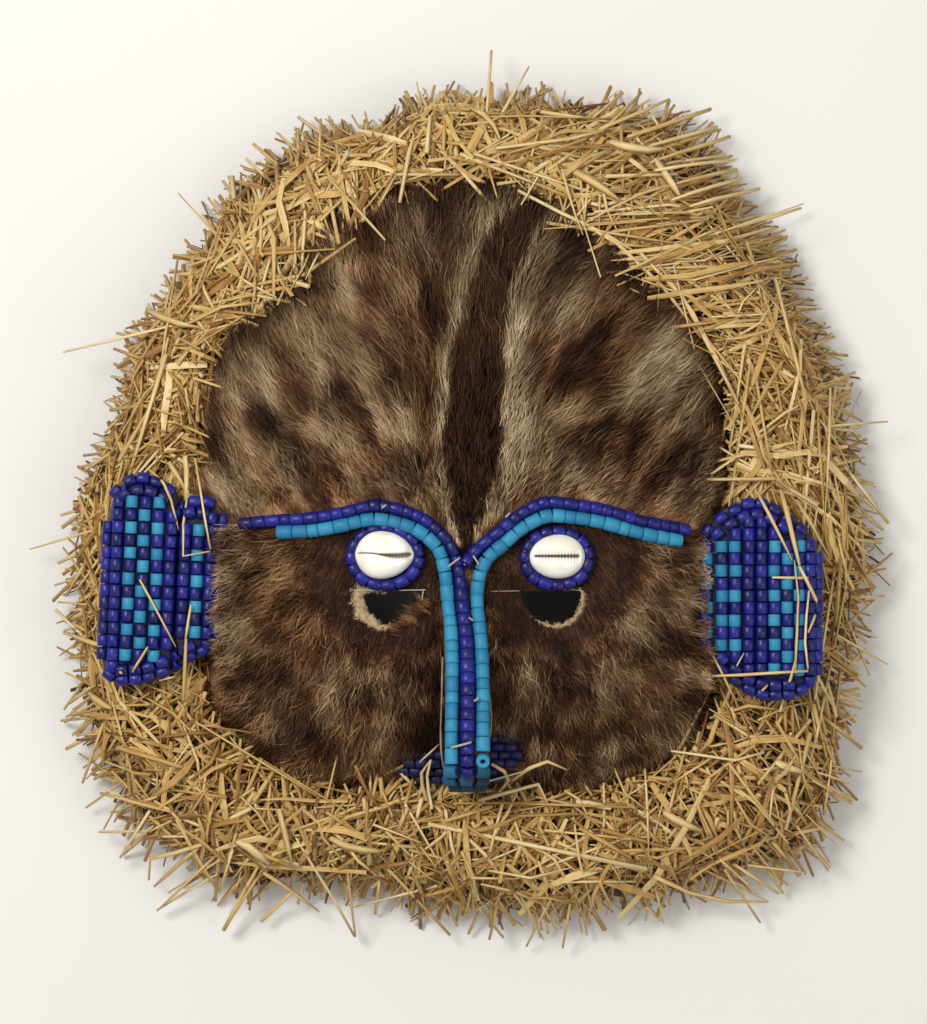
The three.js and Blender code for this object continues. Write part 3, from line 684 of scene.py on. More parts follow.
def cowrie_material():
    """Polished shell: ivory, faintly mottled, and darker in the slit and between its teeth, a painted shade."""
    material, tree, shader = new_material("cowrie", roughness=0.14, ior=1.53, coat_weight=0.4)
    shader.inputs["Subsurface Weight"].default_value = 0.08
    shader.inputs["Subsurface Scale"].default_value = 0.002
    cloud = use_group(tree, PATCHES, {"Place": object_place(tree), "Size": 0.008, "Cover": 0.5})
    body = mixed(tree, cloud, colour(246, 243, 232), colour(236, 228, 208))
    # The slit's darker colour is a painted shade in the groove and between the teeth.
    slit_in_painted_shade = mixed(tree, attribute(tree, "slit"), body, colour(112, 98, 72))
    streak = use_group(tree, STREAKS, {"Place": object_place(tree), "Scale": (260, 900, 400), "Contrast": 1.2})
    paint(tree, shader, base=slit_in_painted_shade, roughness=scaled(tree, streak, 0, 1, 0.1, 0.24), height=streak,
          distance=0.00004)
    return material


COWRIE = cowrie_material()

# %% [markdown]
# ### Straw, wood, cloth and thread
#
# Straw is pale gold with fine ribs along each stem. The mesh carries a place measured along and
# across the stem, so that the ribs follow every stem whichever way it lies. The wood is carved
# and unvarnished, with grain along the face's length. The pads behind the beads are dark cloth,
# darkened further so that where they show between the beads they pass for painted shade.

# %% Straw, wood, cloth and thread


def straw_material(name, stops, rib_depth):
    """Stems of differing tone, ribbed along their length and browned in blots."""
    material, tree, shader = new_material(name, roughness=0.5, ior=1.45)
    place = attribute(tree, "fibre", "Vector")
    rib = use_group(tree, STREAKS, {"Place": place, "Scale": (2200, 2200, 70), "Contrast": 2.2})
    band = use_group(tree, STREAKS, {"Place": place, "Scale": (150, 150, 90), "Contrast": 2.0})
    tone = maths(tree, "ADD", attribute(tree, "tone"), scaled(tree, rib, 0, 1, -0.16, 0.16))
    tone = maths(tree, "ADD", tone, scaled(tree, band, 0, 1, -0.12, 0.12), clamp=True)
    paint(tree, shader, base=ramp(tree, tone, stops), roughness=scaled(tree, rib, 0, 1, 0.42, 0.68),
          height=rib, distance=rib_depth)
    return material


STRAW_TONES = [
    (0.0, colour(78, 44, 16)), (0.25, colour(144, 98, 42)), (0.55, colour(190, 151, 84)),
    (0.8, colour(213, 182, 120)), (1.0, colour(229, 206, 154)),
]
SHADE_TONES = [(0.0, colour(24, 13, 6)), (0.6, colour(62, 38, 16)), (1.0, colour(96, 64, 30))]
STRAW = straw_material("straw", STRAW_TONES, 0.00012)
DEEP_STRAW = straw_material("deep_straw", SHADE_TONES, 0.0004)


def wood_material():
    """Carved wood: grain along Y, darker in the pores and where hands and sweat have stained it."""
    material, tree, shader = new_material("wood", roughness=0.7, ior=1.45)
    place = object_place(tree)
    grain = use_group(tree, STREAKS, {"Place": place, "Scale": (420, 34, 420), "Contrast": 2.2})
    darkening = use_group(tree, PATCHES, {"Place": place, "Size": 0.06, "Cover": 0.5})
    bare = ramp(tree, grain, [(0.0, colour(74, 46, 26)), (0.5, colour(112, 76, 46)), (1.0, colour(148, 108, 70))])
    stained = mixed(tree, maths(tree, "MULTIPLY", darkening, 0.55), bare, colour(58, 36, 22))
    paint(tree, shader, base=stained, roughness=scaled(tree, grain, 0, 1, 0.78, 0.6), height=grain,
          distance=0.0003)
    return material


WOOD = wood_material()


def cloth_material(name, dark, light, threads):
    """Woven cloth: two sets of fine waves at right angles lift the threads."""
    material, tree, shader = new_material(name, roughness=0.85, sheen_weight=0.3)
    place = object_place(tree)
    warp = put(tree, "TexWave", {"Vector": place, "Scale": threads, "Distortion": 0.6}, bands_direction="X")
    weft = put(tree, "TexWave", {"Vector": place, "Scale": threads, "Distortion": 0.6}, bands_direction="Y")
    weave = maths(tree, "MAXIMUM", warp.outputs["Fac"], weft.outputs["Fac"])
    paint(tree, shader, base=ramp(tree, weave, [(0.0, dark), (1.0, light)]), height=weave)
    return material


# The pads' near-black navy is partly the cloth's own colour and partly a painted shade for the gaps between beads.
PAD_CLOTH = cloth_material("pad_cloth", colour(6, 7, 34), colour(11, 13, 54), 500.0)
THREAD = cloth_material("thread", colour(150, 138, 118), colour(222, 214, 196), 900.0)


def strip_material():
    """The cut edge of the hide strip that carries the nose's beads: greyish gold."""
    material, tree, shader = new_material("hide_strip", roughness=0.55)
    cloud = use_group(tree, STREAKS, {"Place": object_place(tree), "Scale": (500, 120, 500), "Contrast": 2.0})
    paint(tree, shader, base=ramp(tree, cloud, [(0.0, colour(84, 70, 50)), (1.0, colour(158, 142, 112))]),
          height=cloud)
    return material


HIDE_STRIP = strip_material()


def floor_material():
    """Pale paper, faintly uneven."""
    material, tree, shader = new_material("studio_floor", roughness=0.85)
    cloud = use_group(tree, PATCHES, {"Place": object_place(tree), "Size": 0.4, "Cover": 0.5})
    paint(tree, shader, base=mixed(tree, cloud, colour(226, 223, 217), colour(222, 219, 213)))
    return material


FLOOR_HALF = 6000.0


def add_floor():
    """A pale plane under the mask, wide enough for every view."""
    corners = np.array([[-1, -1, 0], [1, -1, 0], [1, 1, 0], [-1, 1, 0]]) * FLOOR_HALF * MM
    mesh = bpy.data.meshes.new("floor")
    mesh.from_pydata(corners.tolist(), [], [(0, 1, 2, 3)])
    mesh.materials.append(floor_material())
    floor = bpy.data.objects.new("floor", mesh)
    bpy.context.scene.collection.objects.link(floor)
    floor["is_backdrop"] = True


add_floor()
print("materials:", len(bpy.data.materials), "groups:", len(bpy.data.node_groups))

# %% [markdown]
# ## The carved shell
#
# Under the fur is a wooden face, hollowed with an adze. The outside is covered, but the hollow
# shows from behind and through the eye holes, so its surface gets the scoops that the blade left:
# overlapping shallow bowls. The shell is made as one closed sheet, outside and inside joined
# along the flat rim, and the two eye holes are cut out of it with a boolean.

# %% Shell
SCOOP_LENGTH, SCOOP_WIDTH, SCOOP_DEPTH = 17.0, 10.0, 0.8
SHELL_TURNS, SHELL_STEPS = 128, 36


def scoops(x, y):
    """Depth cut away: each bowl is depth (1 - 2 d^2), d the distance to the nearest bowl's middle, and
    the middles are a lattice with some jitter."""
    nearest = np.full(np.shape(x), 9.0)
    row, column = np.floor(y / SCOOP_LENGTH), np.floor(x / SCOOP_WIDTH)
    for i in (-1, 0, 1):
        for j in (-1, 0, 1):
            cell_x, cell_y = column + i, row + j
            jitter = np.abs(np.sin(cell_x * 12.9898 + cell_y * 78.233) * 43758.5453) % 1
            centre_x = (cell_x + 0.25 + 0.5 * jitter) * SCOOP_WIDTH
            centre_y = (cell_y + 0.75 - 0.5 * jitter) * SCOOP_LENGTH
            away = np.hypot((x - centre_x) / SCOOP_WIDTH, (y - centre_y) / SCOOP_LENGTH)
            nearest = np.minimum(nearest, away)
    return SCOOP_DEPTH * np.maximum(0, 1 - 2 * nearest**2)


def build_shell():
    """Grids in angle and share for the outside and the inside, each ending in the flat rim."""
    angle = np.linspace(0, 2 * np.pi, SHELL_TURNS, endpoint=False)
    share = np.sin(np.linspace(0.02, np.pi / 2, SHELL_STEPS))[:, None]
    radius = outline_radius(angle)[None]
    x, y = np.moveaxis(polar(FACE_CENTRE, share * radius, angle), -1, 0)
    outer = np.stack([x, y, face_height(x, y)], axis=-1)
    inner_x, inner_y = np.moveaxis(polar(FACE_CENTRE, share * (radius - SHELL_WALL), angle), -1, 0)
    depth = face_height(x, y) - SHELL_WALL + scoops(inner_x, inner_y)
    inner = np.stack([inner_x, inner_y, depth], axis=-1)
    fall = np.linspace(1, 0, 7)[1:, None, None] * [0, 0, 1] + [1, 1, 0]
    outside, inside_wall = (np.concatenate([sheet, sheet[-1] * fall]) for sheet in (outer, inner))
    grid = np.concatenate([outside, inside_wall[::-1]])
    points = np.concatenate([grid.reshape(-1, 3), [grid[0].mean(axis=0)], [grid[-1].mean(axis=0)]])
    body = grid_faces(len(grid), SHELL_TURNS, closed_columns=True)
    return points, body[:, ::-1], fans(SHELL_TURNS, len(grid))[:, ::-1]


CUT_FROM, CUT_TO = 20.0, 90.0


def cut_holes(piece):
    """Cuts each eye's prism out of the shell and applies the cut."""
    for side in (-1, 1):
        outline = eye_hole(side)
        count = len(outline)
        low, high = (np.column_stack([outline, np.full(count, z)]) for z in (CUT_FROM, CUT_TO))
        mesh = bpy.data.meshes.new("hole")
        walls = [(i, (i + 1) % count, (i + 1) % count + count, i + count) for i in range(count)]
        caps = [tuple(range(count))[::-1], tuple(range(count, 2 * count))]
        mesh.from_pydata((np.concatenate([low, high]) * MM).tolist(), [], walls + caps)
        tool = bpy.data.objects.new("hole", mesh)
        bpy.context.scene.collection.objects.link(tool)
        cut = piece.modifiers.new("hole", "BOOLEAN")
        cut.operation, cut.object, cut.solver = "DIFFERENCE", tool, "EXACT"
        evaluated = piece.evaluated_get(bpy.context.evaluated_depsgraph_get())
        result = bpy.data.meshes.new_from_object(evaluated)
        piece.modifiers.clear()
        piece.data = result
        bpy.data.objects.remove(tool)


points, body, caps = build_shell()
shell = add_piece("carved_shell", points, [body, caps], [WOOD], ["face_shell"], "wood")
cut_holes(shell)
print("shell faces after the cuts:", len(shell.data.polygons))

# %% [markdown]
# ## Nose and mouth
#
# The nose is a carved ridge that grows toward its tip and stands free over the mouth. Only its
# sides and its edges show beside the beads, so it is one smooth closed sheet in dark wood, with a
# thin strip of hide let in along each side. The mouth is a low oval pad with a lip line.

# %% Nose
NOSE_ROWS, NOSE_COLUMNS = 72, 20
NOSE_EDGE_ROUND = 2.2


def build_nose():
    """A closed sheet from side to side and from top to tip, its edges rolled over."""
    y = np.linspace(NOSE_TOP_Y, NOSE_TIP_Y, NOSE_ROWS)[:, None]
    across = np.sin(np.linspace(-np.pi / 2, np.pi / 2, NOSE_COLUMNS))[None]
    along = nose_along(y)
    x = nose_middle(along) + nose_half(along) * across
    roll = NOSE_EDGE_ROUND * (1 - np.sqrt(1 - np.abs(across) ** 5)) * np.minimum(1, along * 6)
    y = y + 0 * x
    upper = np.stack([x, y, nose_top(x, y) - roll], axis=-1)
    free = eased(-y, -NOSE_FOOT_Y - 1.5, -NOSE_FOOT_Y + 1.5)
    low = face_height(x, y) - 1.5 + free * (NOSE_TIP_UNDERSIDE + 1.5 - 2.0 * np.abs(across) ** 3)
    return closed_sheet(upper, np.stack([x, y, np.minimum(low, upper[..., 2] - 1)], axis=-1))


def tube(path, radius, sides=6):
    """A thin closed tube along a path, a ring of corners at each point and a fan at each end."""
    path = np.asarray(path, float)
    along = unit(np.gradient(path, axis=0))
    side = unit(np.cross(along, [0.0, 0.0, 1.0]) + 1e-6)
    up = np.cross(side, along)
    turn = np.linspace(0, 2 * np.pi, sides, endpoint=False)[None, :, None]
    ring = path[:, None] + radius * (np.cos(turn) * side[:, None] + np.sin(turn) * up[:, None])
    points = np.concatenate([ring.reshape(-1, 3), path[:1], path[-1:]])
    walls = grid_faces(len(path), sides, closed_columns=True)
    return points, walls[:, ::-1], fans(sides, len(path))[:, ::-1]


def join_tubes(tubes):
    """Several tubes as one set of points, with its four-cornered and its three-cornered faces."""
    starts = np.cumsum([0, *(len(points) for points, _, _ in tubes[:-1])])
    points = np.concatenate([points for points, _, _ in tubes])
    walls = np.concatenate([faces + start for (_, faces, _), start in zip(tubes, starts)])
    caps = np.concatenate([ends + start for (_, _, ends), start in zip(tubes, starts)])
    return points, [walls, caps]


points, faces = build_nose()
add_piece("nose_ridge", points, faces, [WOOD], ["nose"], "wood")

STRIP_PLACES = {-1: [(-62, 0.6), (-78, 1.1), (-96, 1.6), (-104, 0.7), (-109, -0.8), (-114, -3.4)],
                1: [(-72, 0.8), (-82, 1.5), (-90, 1.2), (-96, -0.2)]}
STRIP_SUNK, STRIP_RADIUS = 1.2, 0.42
strips = []
for side, places in STRIP_PLACES.items():
    y, out = np.array(places, float).T
    middle = nose_middle(nose_along(y))
    x = middle + side * (nose_half(nose_along(y)) + out)
    z = nose_top(middle, np.maximum(y, NOSE_TIP_Y)) - STRIP_SUNK
    strips.append(tube(smooth_route(np.stack([x, y, z], axis=1), 40), STRIP_RADIUS))
points, faces = join_tubes(strips)
add_piece("nose_strips", points, faces, [HIDE_STRIP], ["nose"])

# %% [markdown]
# ### Mouth
#
# The photograph shows a band of dark beads at both sides of the nose tip. Under them lies a low oval
# pad of cloth with a line between its lips, made as one closed sheet.

# %% Mouth
MOUTH_CENTRE = (1.5, -107.0)
MOUTH_HALF = (25.0, 7.6)
MOUTH_CORNER_SHARE = 0.35
LIP_THICKNESS, LIP_EDGE, LIP_LINE_DEPTH, LIP_LINE_WIDTH = 6.0, 2.0, 3.0, 0.22
LIP_STEPS, LIP_LINES, LIP_PAD_BELOW, LIP_PAD_SUNK = 32, 16, 1.6, 0.5


def lip_share(across):
    """The lips' height on the page at a place across them, 1 in the middle and less at the corners."""
    return np.sqrt(np.maximum(MOUTH_CORNER_SHARE**2, 1 - across**2))


def lip_height(x, y):
    """Height of the lips: a swell over the face that falls to its edge, less the line between them."""
    across = np.clip((x - MOUTH_CENTRE[0]) / MOUTH_HALF[0], -1, 1)
    share = lip_share(across)
    along = (y - MOUTH_CENTRE[1]) / MOUTH_HALF[1]
    swell = share * np.maximum(0, 1 - np.abs(along / share) ** 3)
    line = LIP_LINE_DEPTH * share * np.exp(-((along / LIP_LINE_WIDTH) ** 2))
    return face_height(x, y) + LIP_EDGE + (LIP_THICKNESS - LIP_EDGE) * swell - line


def build_mouth():
    """A closed sheet over the oval, a little lower than the beads that will lie on it."""
    across = np.sin(np.linspace(-np.pi / 2, np.pi / 2, LIP_STEPS))[:, None]
    along = np.linspace(-1, 1, LIP_LINES)[None]
    x = MOUTH_CENTRE[0] + MOUTH_HALF[0] * across + 0 * along
    y = MOUTH_CENTRE[1] + MOUTH_HALF[1] * lip_share(across) * along
    top = np.stack([x, y, lip_height(x, y) - LIP_PAD_BELOW], axis=-1)
    return closed_sheet(top, np.stack([x, y, face_height(x, y) - LIP_PAD_SUNK], axis=-1))


points, faces = build_mouth()
lip_pad = add_piece("lip_pad", points, faces, [PAD_CLOTH], ["mouth"], "dark_beads")

# %% [markdown]
# ## Hides
#
# The fur grows on three hides: one over the forehead and one on each cheek, which runs up round
# the eye to the brow. Each is a thin closed sheet over the dome. A cheek's sheet is a ring: its
# inner edge is the eye hole, cut a little raggedly, and its outer edge is where the hide meets
# the brow, the nose and the rim.

# %% Brow line
LEFT_DARK_ROUTE = [
    (-87, -9.6), (-71.4, -8.1), (-59.4, -7.4), (-45.4, -5.0), (-33.4, -2.2), (-23.4, -3.8), (-15.4, -6.7),
    (-9, -11.4), (-2.8, -18), (-0.6, -24), (0.9, -34), (1.8, -44), (3.0, -54), (3.5, -66), (3.6, -80),
    (3.5, -92), (3.4, -108.4),
]
LEFT_LIGHT_ROUTE = [
    (-72, -12.8), (-58, -12.2), (-45.4, -10.0), (-33.4, -7.6), (-23.4, -9.3), (-15.4, -12.4), (-9.2, -17.4),
    (-6.4, -23), (-4.9, -31), (-4.1, -40), (-2.8, -52), (-2.4, -66), (-2.5, -80), (-2.7, -92), (-2.7, -103.5),
]
RIGHT_LIGHT_ROUTE = [
    (88.6, -16.4), (72.6, -13.3), (56.6, -8.8), (44.6, -6.9), (34.6, -6.4), (24.6, -11.6), (17.6, -17.8),
    (12, -22.2), (9.2, -26.8), (7.6, -33), (7.4, -42), (8.7, -54), (9.4, -66), (9.7, -80), (9.6, -90),
    (9.6, -98.6),
]
RIGHT_DARK_ROUTE = [
    (91.8, -12.2), (84.6, -10.6), (72.6, -8.5), (56.6, -3.7), (44.6, -1.7), (34.6, -0.9), (24.6, -5.4),
    (16.6, -12.2), (8.8, -18.0), (5.0, -21.8), (2.4, -25.6),
]
HIDE_THICKNESS = 1.2
HIDE_RIM_SHARE = 0.99
FOREHEAD_SOURCE, CHEEK_SOURCE = (3.0, -110.0), (2.0, 60.0)
BROW_LEFT, BROW_RIGHT = LEFT_DARK_ROUTE[:9], RIGHT_DARK_ROUTE[:9]
BROW = np.array([(-106.5, -9.5), *BROW_LEFT, (1.5, -19.5), *BROW_RIGHT[::-1], (108.0, -13.0)], float)


def brow_y(x):
    """Height in the picture of the line where the dark brow strings lie."""
    return np.interp(x, BROW[:, 0], BROW[:, 1])


# %% Hides
FOREHEAD_COLUMNS, FOREHEAD_ROWS = 84, 32
CHEEK_TURNS, CHEEK_ROWS = 126, 28
CHEEK_ARC = {-1: (1.035 * np.pi, 1.49 * np.pi), 1: (-0.045 * np.pi, -0.49 * np.pi)}
UNDER_NOSE_X, BORDER_POINTS = 1.5, 60
RAGGED = 0.9
LIE_REACH = 90.0


def forehead_hide():
    """Rows run from the brow line to the rim; along the rim the angle sweeps over the crown."""
    x_brow = np.linspace(BROW[0, 0], BROW[-1, 0], FOREHEAD_COLUMNS)
    inner = np.stack([x_brow, brow_y(x_brow)], axis=1)
    start, end = (np.arctan2(p[1] - FACE_CENTRE[1], p[0] - FACE_CENTRE[0]) for p in (inner[0], inner[-1]))
    angle = np.linspace(start + 2 * np.pi, end, FOREHEAD_COLUMNS)
    outer = polar(FACE_CENTRE, outline_radius(angle) * HIDE_RIM_SHARE, angle)
    share = np.linspace(0, 1, FOREHEAD_ROWS)[:, None, None]
    return inner * (1 - share) + outer * share


def cheek_border(side):
    """Corners of a cheek hide: along the brow, round the rim, and up the middle under the nose."""
    angle = np.linspace(*CHEEK_ARC[side], BORDER_POINTS)
    rim = polar(FACE_CENTRE, outline_radius(angle) * HIDE_RIM_SHARE, angle)
    brow_x = np.linspace(UNDER_NOSE_X, side * 104 + UNDER_NOSE_X, BORDER_POINTS)
    brow = np.stack([brow_x, brow_y(brow_x) + 0.5], axis=1)
    middle = np.array([(UNDER_NOSE_X, y) for y in np.linspace(-118, -22, BORDER_POINTS // 2)])
    return np.concatenate([brow, rim, middle])


def radius_at(corners, centre, angle):
    """How far a closed outline lies from a centre, along each angle."""
    closed = spaced(np.concatenate([corners, corners[:1]]), 2000)[:-1]
    turns = np.arctan2(closed[:, 1] - centre[1], closed[:, 0] - centre[0])
    order = np.argsort(turns)
    reach = np.hypot(closed[:, 0] - centre[0], closed[:, 1] - centre[1])
    return np.interp(angle, turns[order], reach[order], period=2 * np.pi)


def hole_centre(side):
    """A place well inside an eye hole."""
    return np.array([eye_x(side) + side * HOLE_FROM_EYE, HOLE_TOP_Y - 4.0])


BARE_EDGE = {-1: {"way": 190, "width": 1.7}, 1: {"way": -35, "width": 0.5}}


def cheek_hide(side):
    """A ring of rows from the eye hole's ragged edge out to the border."""
    centre = hole_centre(side)
    angle = np.linspace(-np.pi, np.pi, CHEEK_TURNS, endpoint=False)
    hole = radius_at(eye_hole(side, 0.2), centre, angle)
    rag = soft_noise(angle * 9, angle * 0, 1.0, 31 + side) + 0.6 * soft_noise(angle * 31, angle * 0, 1.0, 33)
    hole = hole + RAGGED * (rag - 0.8)
    border = radius_at(cheek_border(side), centre, angle)
    share = (np.linspace(0, 1, CHEEK_ROWS) ** 1.5)[:, None]
    reach = hole * (1 - share) + border * share
    bare = BARE_EDGE[side]
    window = np.cos(angle - np.radians(bare["way"])) + 0.5 * (rag - 0.8)
    breadth = 0.2 + bare["width"] * eased(window, 0.1, 0.8)
    edge = (1 - eased(reach - hole, breadth, breadth + 0.8)) * eased(window, -0.3, 0.3)
    return polar(centre, reach, angle), edge


def lie_of(x, y, source):
    """Place measured round and away from a source point, in metres, for streaks that fan out."""
    dx, dy = x - source[0], y - source[1]
    return np.stack([np.arctan2(dx, dy) * LIE_REACH, 0 * dx, np.hypot(dx, dy)], axis=-1).reshape(-1, 3) * MM


# %% [markdown]
# ## Which way the fur lies
#
# On the forehead the hair streams up from the brow and leans outward, more on the right side than
# on the left. On the cheeks it runs down and outward. A heading is the angle of the hair's lie,
# measured from +X, and both the hides' streaks and the hairs themselves ask for it.

# %% Headings
STRIPE = [
    (-12, 3.6, 2.5), (-6, 3.8, 6.6), (20, 5.6, 11.4), (36, 6.4, 11.2), (56, 7.8, 10.2), (70, 10.0, 9.2),
    (83, 12.8, 8.2), (97, 17.0, 8.6), (110, 23.2, 7.6), (119, 31.6, 6.8), (132, 44.0, 6.0),
]


def stripe_across(x, y):
    """Distance from the dark stripe's middle line, and the stripe's half width there."""
    up, middle, half = zip(*STRIPE)
    return x - np.interp(y, up, middle), np.interp(y, up, half)


def forehead_heading(x, y):
    """Straight up along the stripe. On the left the hair leans out most, some 40 degrees, over the eye
    and less toward the crown; on the right it leans some 45 degrees nearly everywhere."""
    out, _ = stripe_across(x, np.minimum(y, 60))
    left = eased(-out, 5, 42) * (40 - 16 * eased(-out, 48, 95)) * (1 - 0.72 * eased(y, 34, 100)) + 3
    right = -eased(out, 2, 32) * (45 - 12 * eased(y, 80, 120)) + 4 * eased(y, 60, 110)
    lean = np.where(out < 0, left, right) - 16 * eased(y, 84, 118) * np.exp(-(((x - 22) / 16) ** 2))
    swirl = 20 * (soft_noise(x, y, 22, 5) - 0.5) + 14 * (soft_noise(x, y, 8, 6) - 0.5)
    return np.radians(90 + lean + swirl)


def cheek_heading(x, y):
    """Down beside the nose, turning outward with distance from it, and outward under the brow."""
    out = np.abs(x - 2)
    turn = 58 * eased(out, 12, 96) + 24 * eased(y, -60, -15) * eased(out, 30, 70)
    swirl = 30 * (soft_noise(x, y, 22, 7) - 0.5) + 16 * (soft_noise(x, y, 8, 8) - 0.5)
    side = np.where(x < 2, -1, 1)
    return np.radians(270 + side * (turn - 4) + swirl)

# %% [markdown]
# ## Glass beads
#
# A bead is a short cut of glass tube: a straight outside, two rounded ends and a hole. Its section
# is six points, swept round the axis, and every bead on the mask is a copy of it. Real beads
# differ in length and shade, and so do these: both are drawn from a seeded random source.

# %% Beads
BEAD_SECTION = np.array([(-1.0, 0.4), (-1.0, 0.86), (-0.86, 1.0), (0.86, 1.0), (1.0, 0.86), (1.0, 0.4)])
BEAD_SIDES = 10
DARK_RADIUS, LIGHT_RADIUS = 2.45, 2.75


def beads(places, axes, radii, halves, seed):
    """Points, faces and shades of tube beads: axis * a * half + side * r * radius for each section
    point (a, r), turned about the axis by a random angle."""
    rng = np.random.default_rng(seed)
    places, axes = np.asarray(places, float), unit(np.asarray(axes, float))
    count = len(places)
    upright = np.where(np.abs(axes[:, 2:]) > 0.9, [[1.0, 0.0, 0.0]], [[0.0, 0.0, 1.0]])
    side = unit(np.cross(axes, upright))
    rise = np.cross(side, axes)
    turn = rng.random((count, 1)) + np.linspace(0, 2 * np.pi, BEAD_SIDES, endpoint=False)
    around = np.cos(turn)[..., None] * side[:, None] + np.sin(turn)[..., None] * rise[:, None]
    halves = np.broadcast_to(halves, count)[:, None, None, None]
    radii = np.broadcast_to(radii, count)[:, None, None, None]
    along = BEAD_SECTION[None, :, None, :1] * halves * axes[:, None, None]
    out = BEAD_SECTION[None, :, None, 1:] * radii * around[:, None]
    points = (places[:, None, None] + along + out).reshape(-1, 3)
    each = len(BEAD_SECTION) * BEAD_SIDES
    faces = grid_faces(len(BEAD_SECTION), BEAD_SIDES, closed_rows=True, closed_columns=True)
    faces = outward(points[:each] - places[0], faces)[1]
    return points, copies_of(faces, each, count), np.repeat(rng.uniform(0.25, 1.0, count), each)


def on_path(path, pitch, spread, seed, gap=0.015):
    """Places, axes and half lengths of beads threaded on a path, of differing length."""
    rng = np.random.default_rng(seed)
    length = np.sum(np.linalg.norm(np.diff(path, axis=0), axis=1))
    sizes = rng.uniform(1 - spread, 1 + spread, max(1, round(length / pitch)))
    ends = np.concatenate([[0], np.cumsum(sizes)]) / np.sum(sizes)
    fine = spaced(path, 2000)
    at = lambda share: np.stack([np.interp(share, np.linspace(0, 1, 2000), fine[:, i]) for i in range(3)], 1)
    starts, stops = at(ends[:-1]), at(ends[1:])
    halves = np.linalg.norm(stops - starts, axis=1) / 2 * (1 - gap)
    return (starts + stops) / 2, stops - starts, halves


def ground(x, y):
    """Height of what lies under the beads: the hide on the face, or the nose where it stands."""
    on_nose = (np.abs(nose_across(x, y)) < 1.02) & (y > NOSE_TIP_Y) & (y < NOSE_TOP_Y)
    return np.where(on_nose, nose_top(x, y), face_height(x, y) + HIDE_THICKNESS)


SMOOTHED_OVER = 27


def string_path(route, radius):
    """Lifts a flat route onto the ground and smooths its height."""
    flat = smooth_route(route, 400)
    height = ground(flat[:, 0], flat[:, 1]) + radius * 0.92
    kernel = np.hanning(SMOOTHED_OVER) / np.hanning(SMOOTHED_OVER).sum()
    height = np.convolve(np.pad(height, SMOOTHED_OVER // 2, mode="edge"), kernel, mode="valid")
    return np.column_stack([flat, height])


THREAD_RADIUS, THREAD_SIDES = 0.5, 5


def add_thread(name, path, node):
    """The thread that shows in the small gaps between beads."""
    points, walls, caps = tube(path, THREAD_RADIUS, THREAD_SIDES)
    add_piece(name + "_thread", points, [walls, caps], [THREAD], [node])


def add_beads(name, layout, radii, seed, materials, node, slot, is_second=None):
    """Beads of a layout, which is their places, axes and half lengths, as one piece. Where two glasses
    are mixed, is_second says which beads are of the second."""
    points, faces, shade = beads(layout[0], layout[1], radii, layout[2], seed)
    finish = None if is_second is None else np.repeat(is_second.astype(int), len(faces) // len(layout[0]))
    add_piece(name, points, faces, materials, [node], slot, attributes={"shade": shade}, finish=finish)


DARK_ON_NOSE, DARK_END_LIFT, DARK_NOSE_SINK = 3.1, 2.4, 0.7
STRINGS = [
    ("left_dark_string", LEFT_DARK_ROUTE, DARK_RADIUS, 4.9, DARK_BEAD, "dark_beads"),
    ("left_light_string", LEFT_LIGHT_ROUTE, LIGHT_RADIUS, 5.6, LIGHT_BEAD, "light_beads"),
    ("right_light_string", RIGHT_LIGHT_ROUTE, LIGHT_RADIUS, 5.2, LIGHT_BEAD, "light_beads"),
    ("right_dark_string", RIGHT_DARK_ROUTE, DARK_RADIUS, 4.9, DARK_BEAD, "dark_beads"),
]
for number, (name, route, radius, pitch, material, slot) in enumerate(STRINGS):
    path = string_path(route, radius)
    if name == "right_dark_string":
        path[:, 2] += DARK_END_LIFT * eased(np.arange(len(path)), 0.93 * len(path), len(path))
    if name == "left_dark_string":
        path[:, 2] -= DARK_NOSE_SINK * eased(-path[:, 1], 40, 60)
    places, axes, halves = on_path(path, pitch, 0.24, 40 + number)
    radii = radius * np.random.default_rng(50 + number).uniform(0.95, 1.04, len(places))
    if name == "left_dark_string":
        radii = radii * (1 + (DARK_ON_NOSE / radius - 1) * eased(-places[:, 1], 30, 50))
    add_beads(name + "_beads", (places, axes, halves), radii, 60 + number, [material], name, slot)
    add_thread(name, spaced(path, 70), name)
    print(f"{name}: {len(places)} beads on {np.sum(halves) * 2:.0f} mm of string")

# %% [markdown]
# ### Beads on the nose tip
#
# Where the nose drops, the light beads turn crosswise and go down over the tip in short rows, painted
# darker toward the underside and on the right: a painted shade. One bead on the right stands on its
# end and shows its hole.

# %% Beads on the nose tip
TIP_ROWS = [(-106.3, -0.3, (-2.9, 9.4)), (-109.6, -1.0, (-3.0, 3.1, 9.2)), (-112.0, -2.8, (-1.2, 3.4, 8.0)),
            (-112.8, -7.0, (-0.4, 4.2, 8.4))]
RING_BEAD = (9.6, -102.0)
TIP_BEAD_HALF, RING_BEAD_HALF = 2.45, 2.2


def tip_beads():
    """Rows of light beads laid crosswise over the falling tip, and one bead that stands on its end."""
    places, axes = [], []
    for y, sunk, across in TIP_ROWS:
        for x in across:
            top = float(nose_top(x, max(y, NOSE_TIP_Y))) + LIGHT_RADIUS * 0.8 + sunk
            places.append((x, y, top))
            axes.append((1.0, 0.0, 0.06 * (3.5 - x)))
    places.append((*RING_BEAD, float(nose_top(*RING_BEAD)) + LIGHT_RADIUS * 0.85))
    axes.append((0.0, -0.25, 1.0))
    halves = np.append(np.full(len(places) - 1, TIP_BEAD_HALF), RING_BEAD_HALF)
    return np.array(places), np.array(axes), halves


places, axes, halves = tip_beads()
points, faces, shade = beads(places, axes, LIGHT_RADIUS, halves, 66)
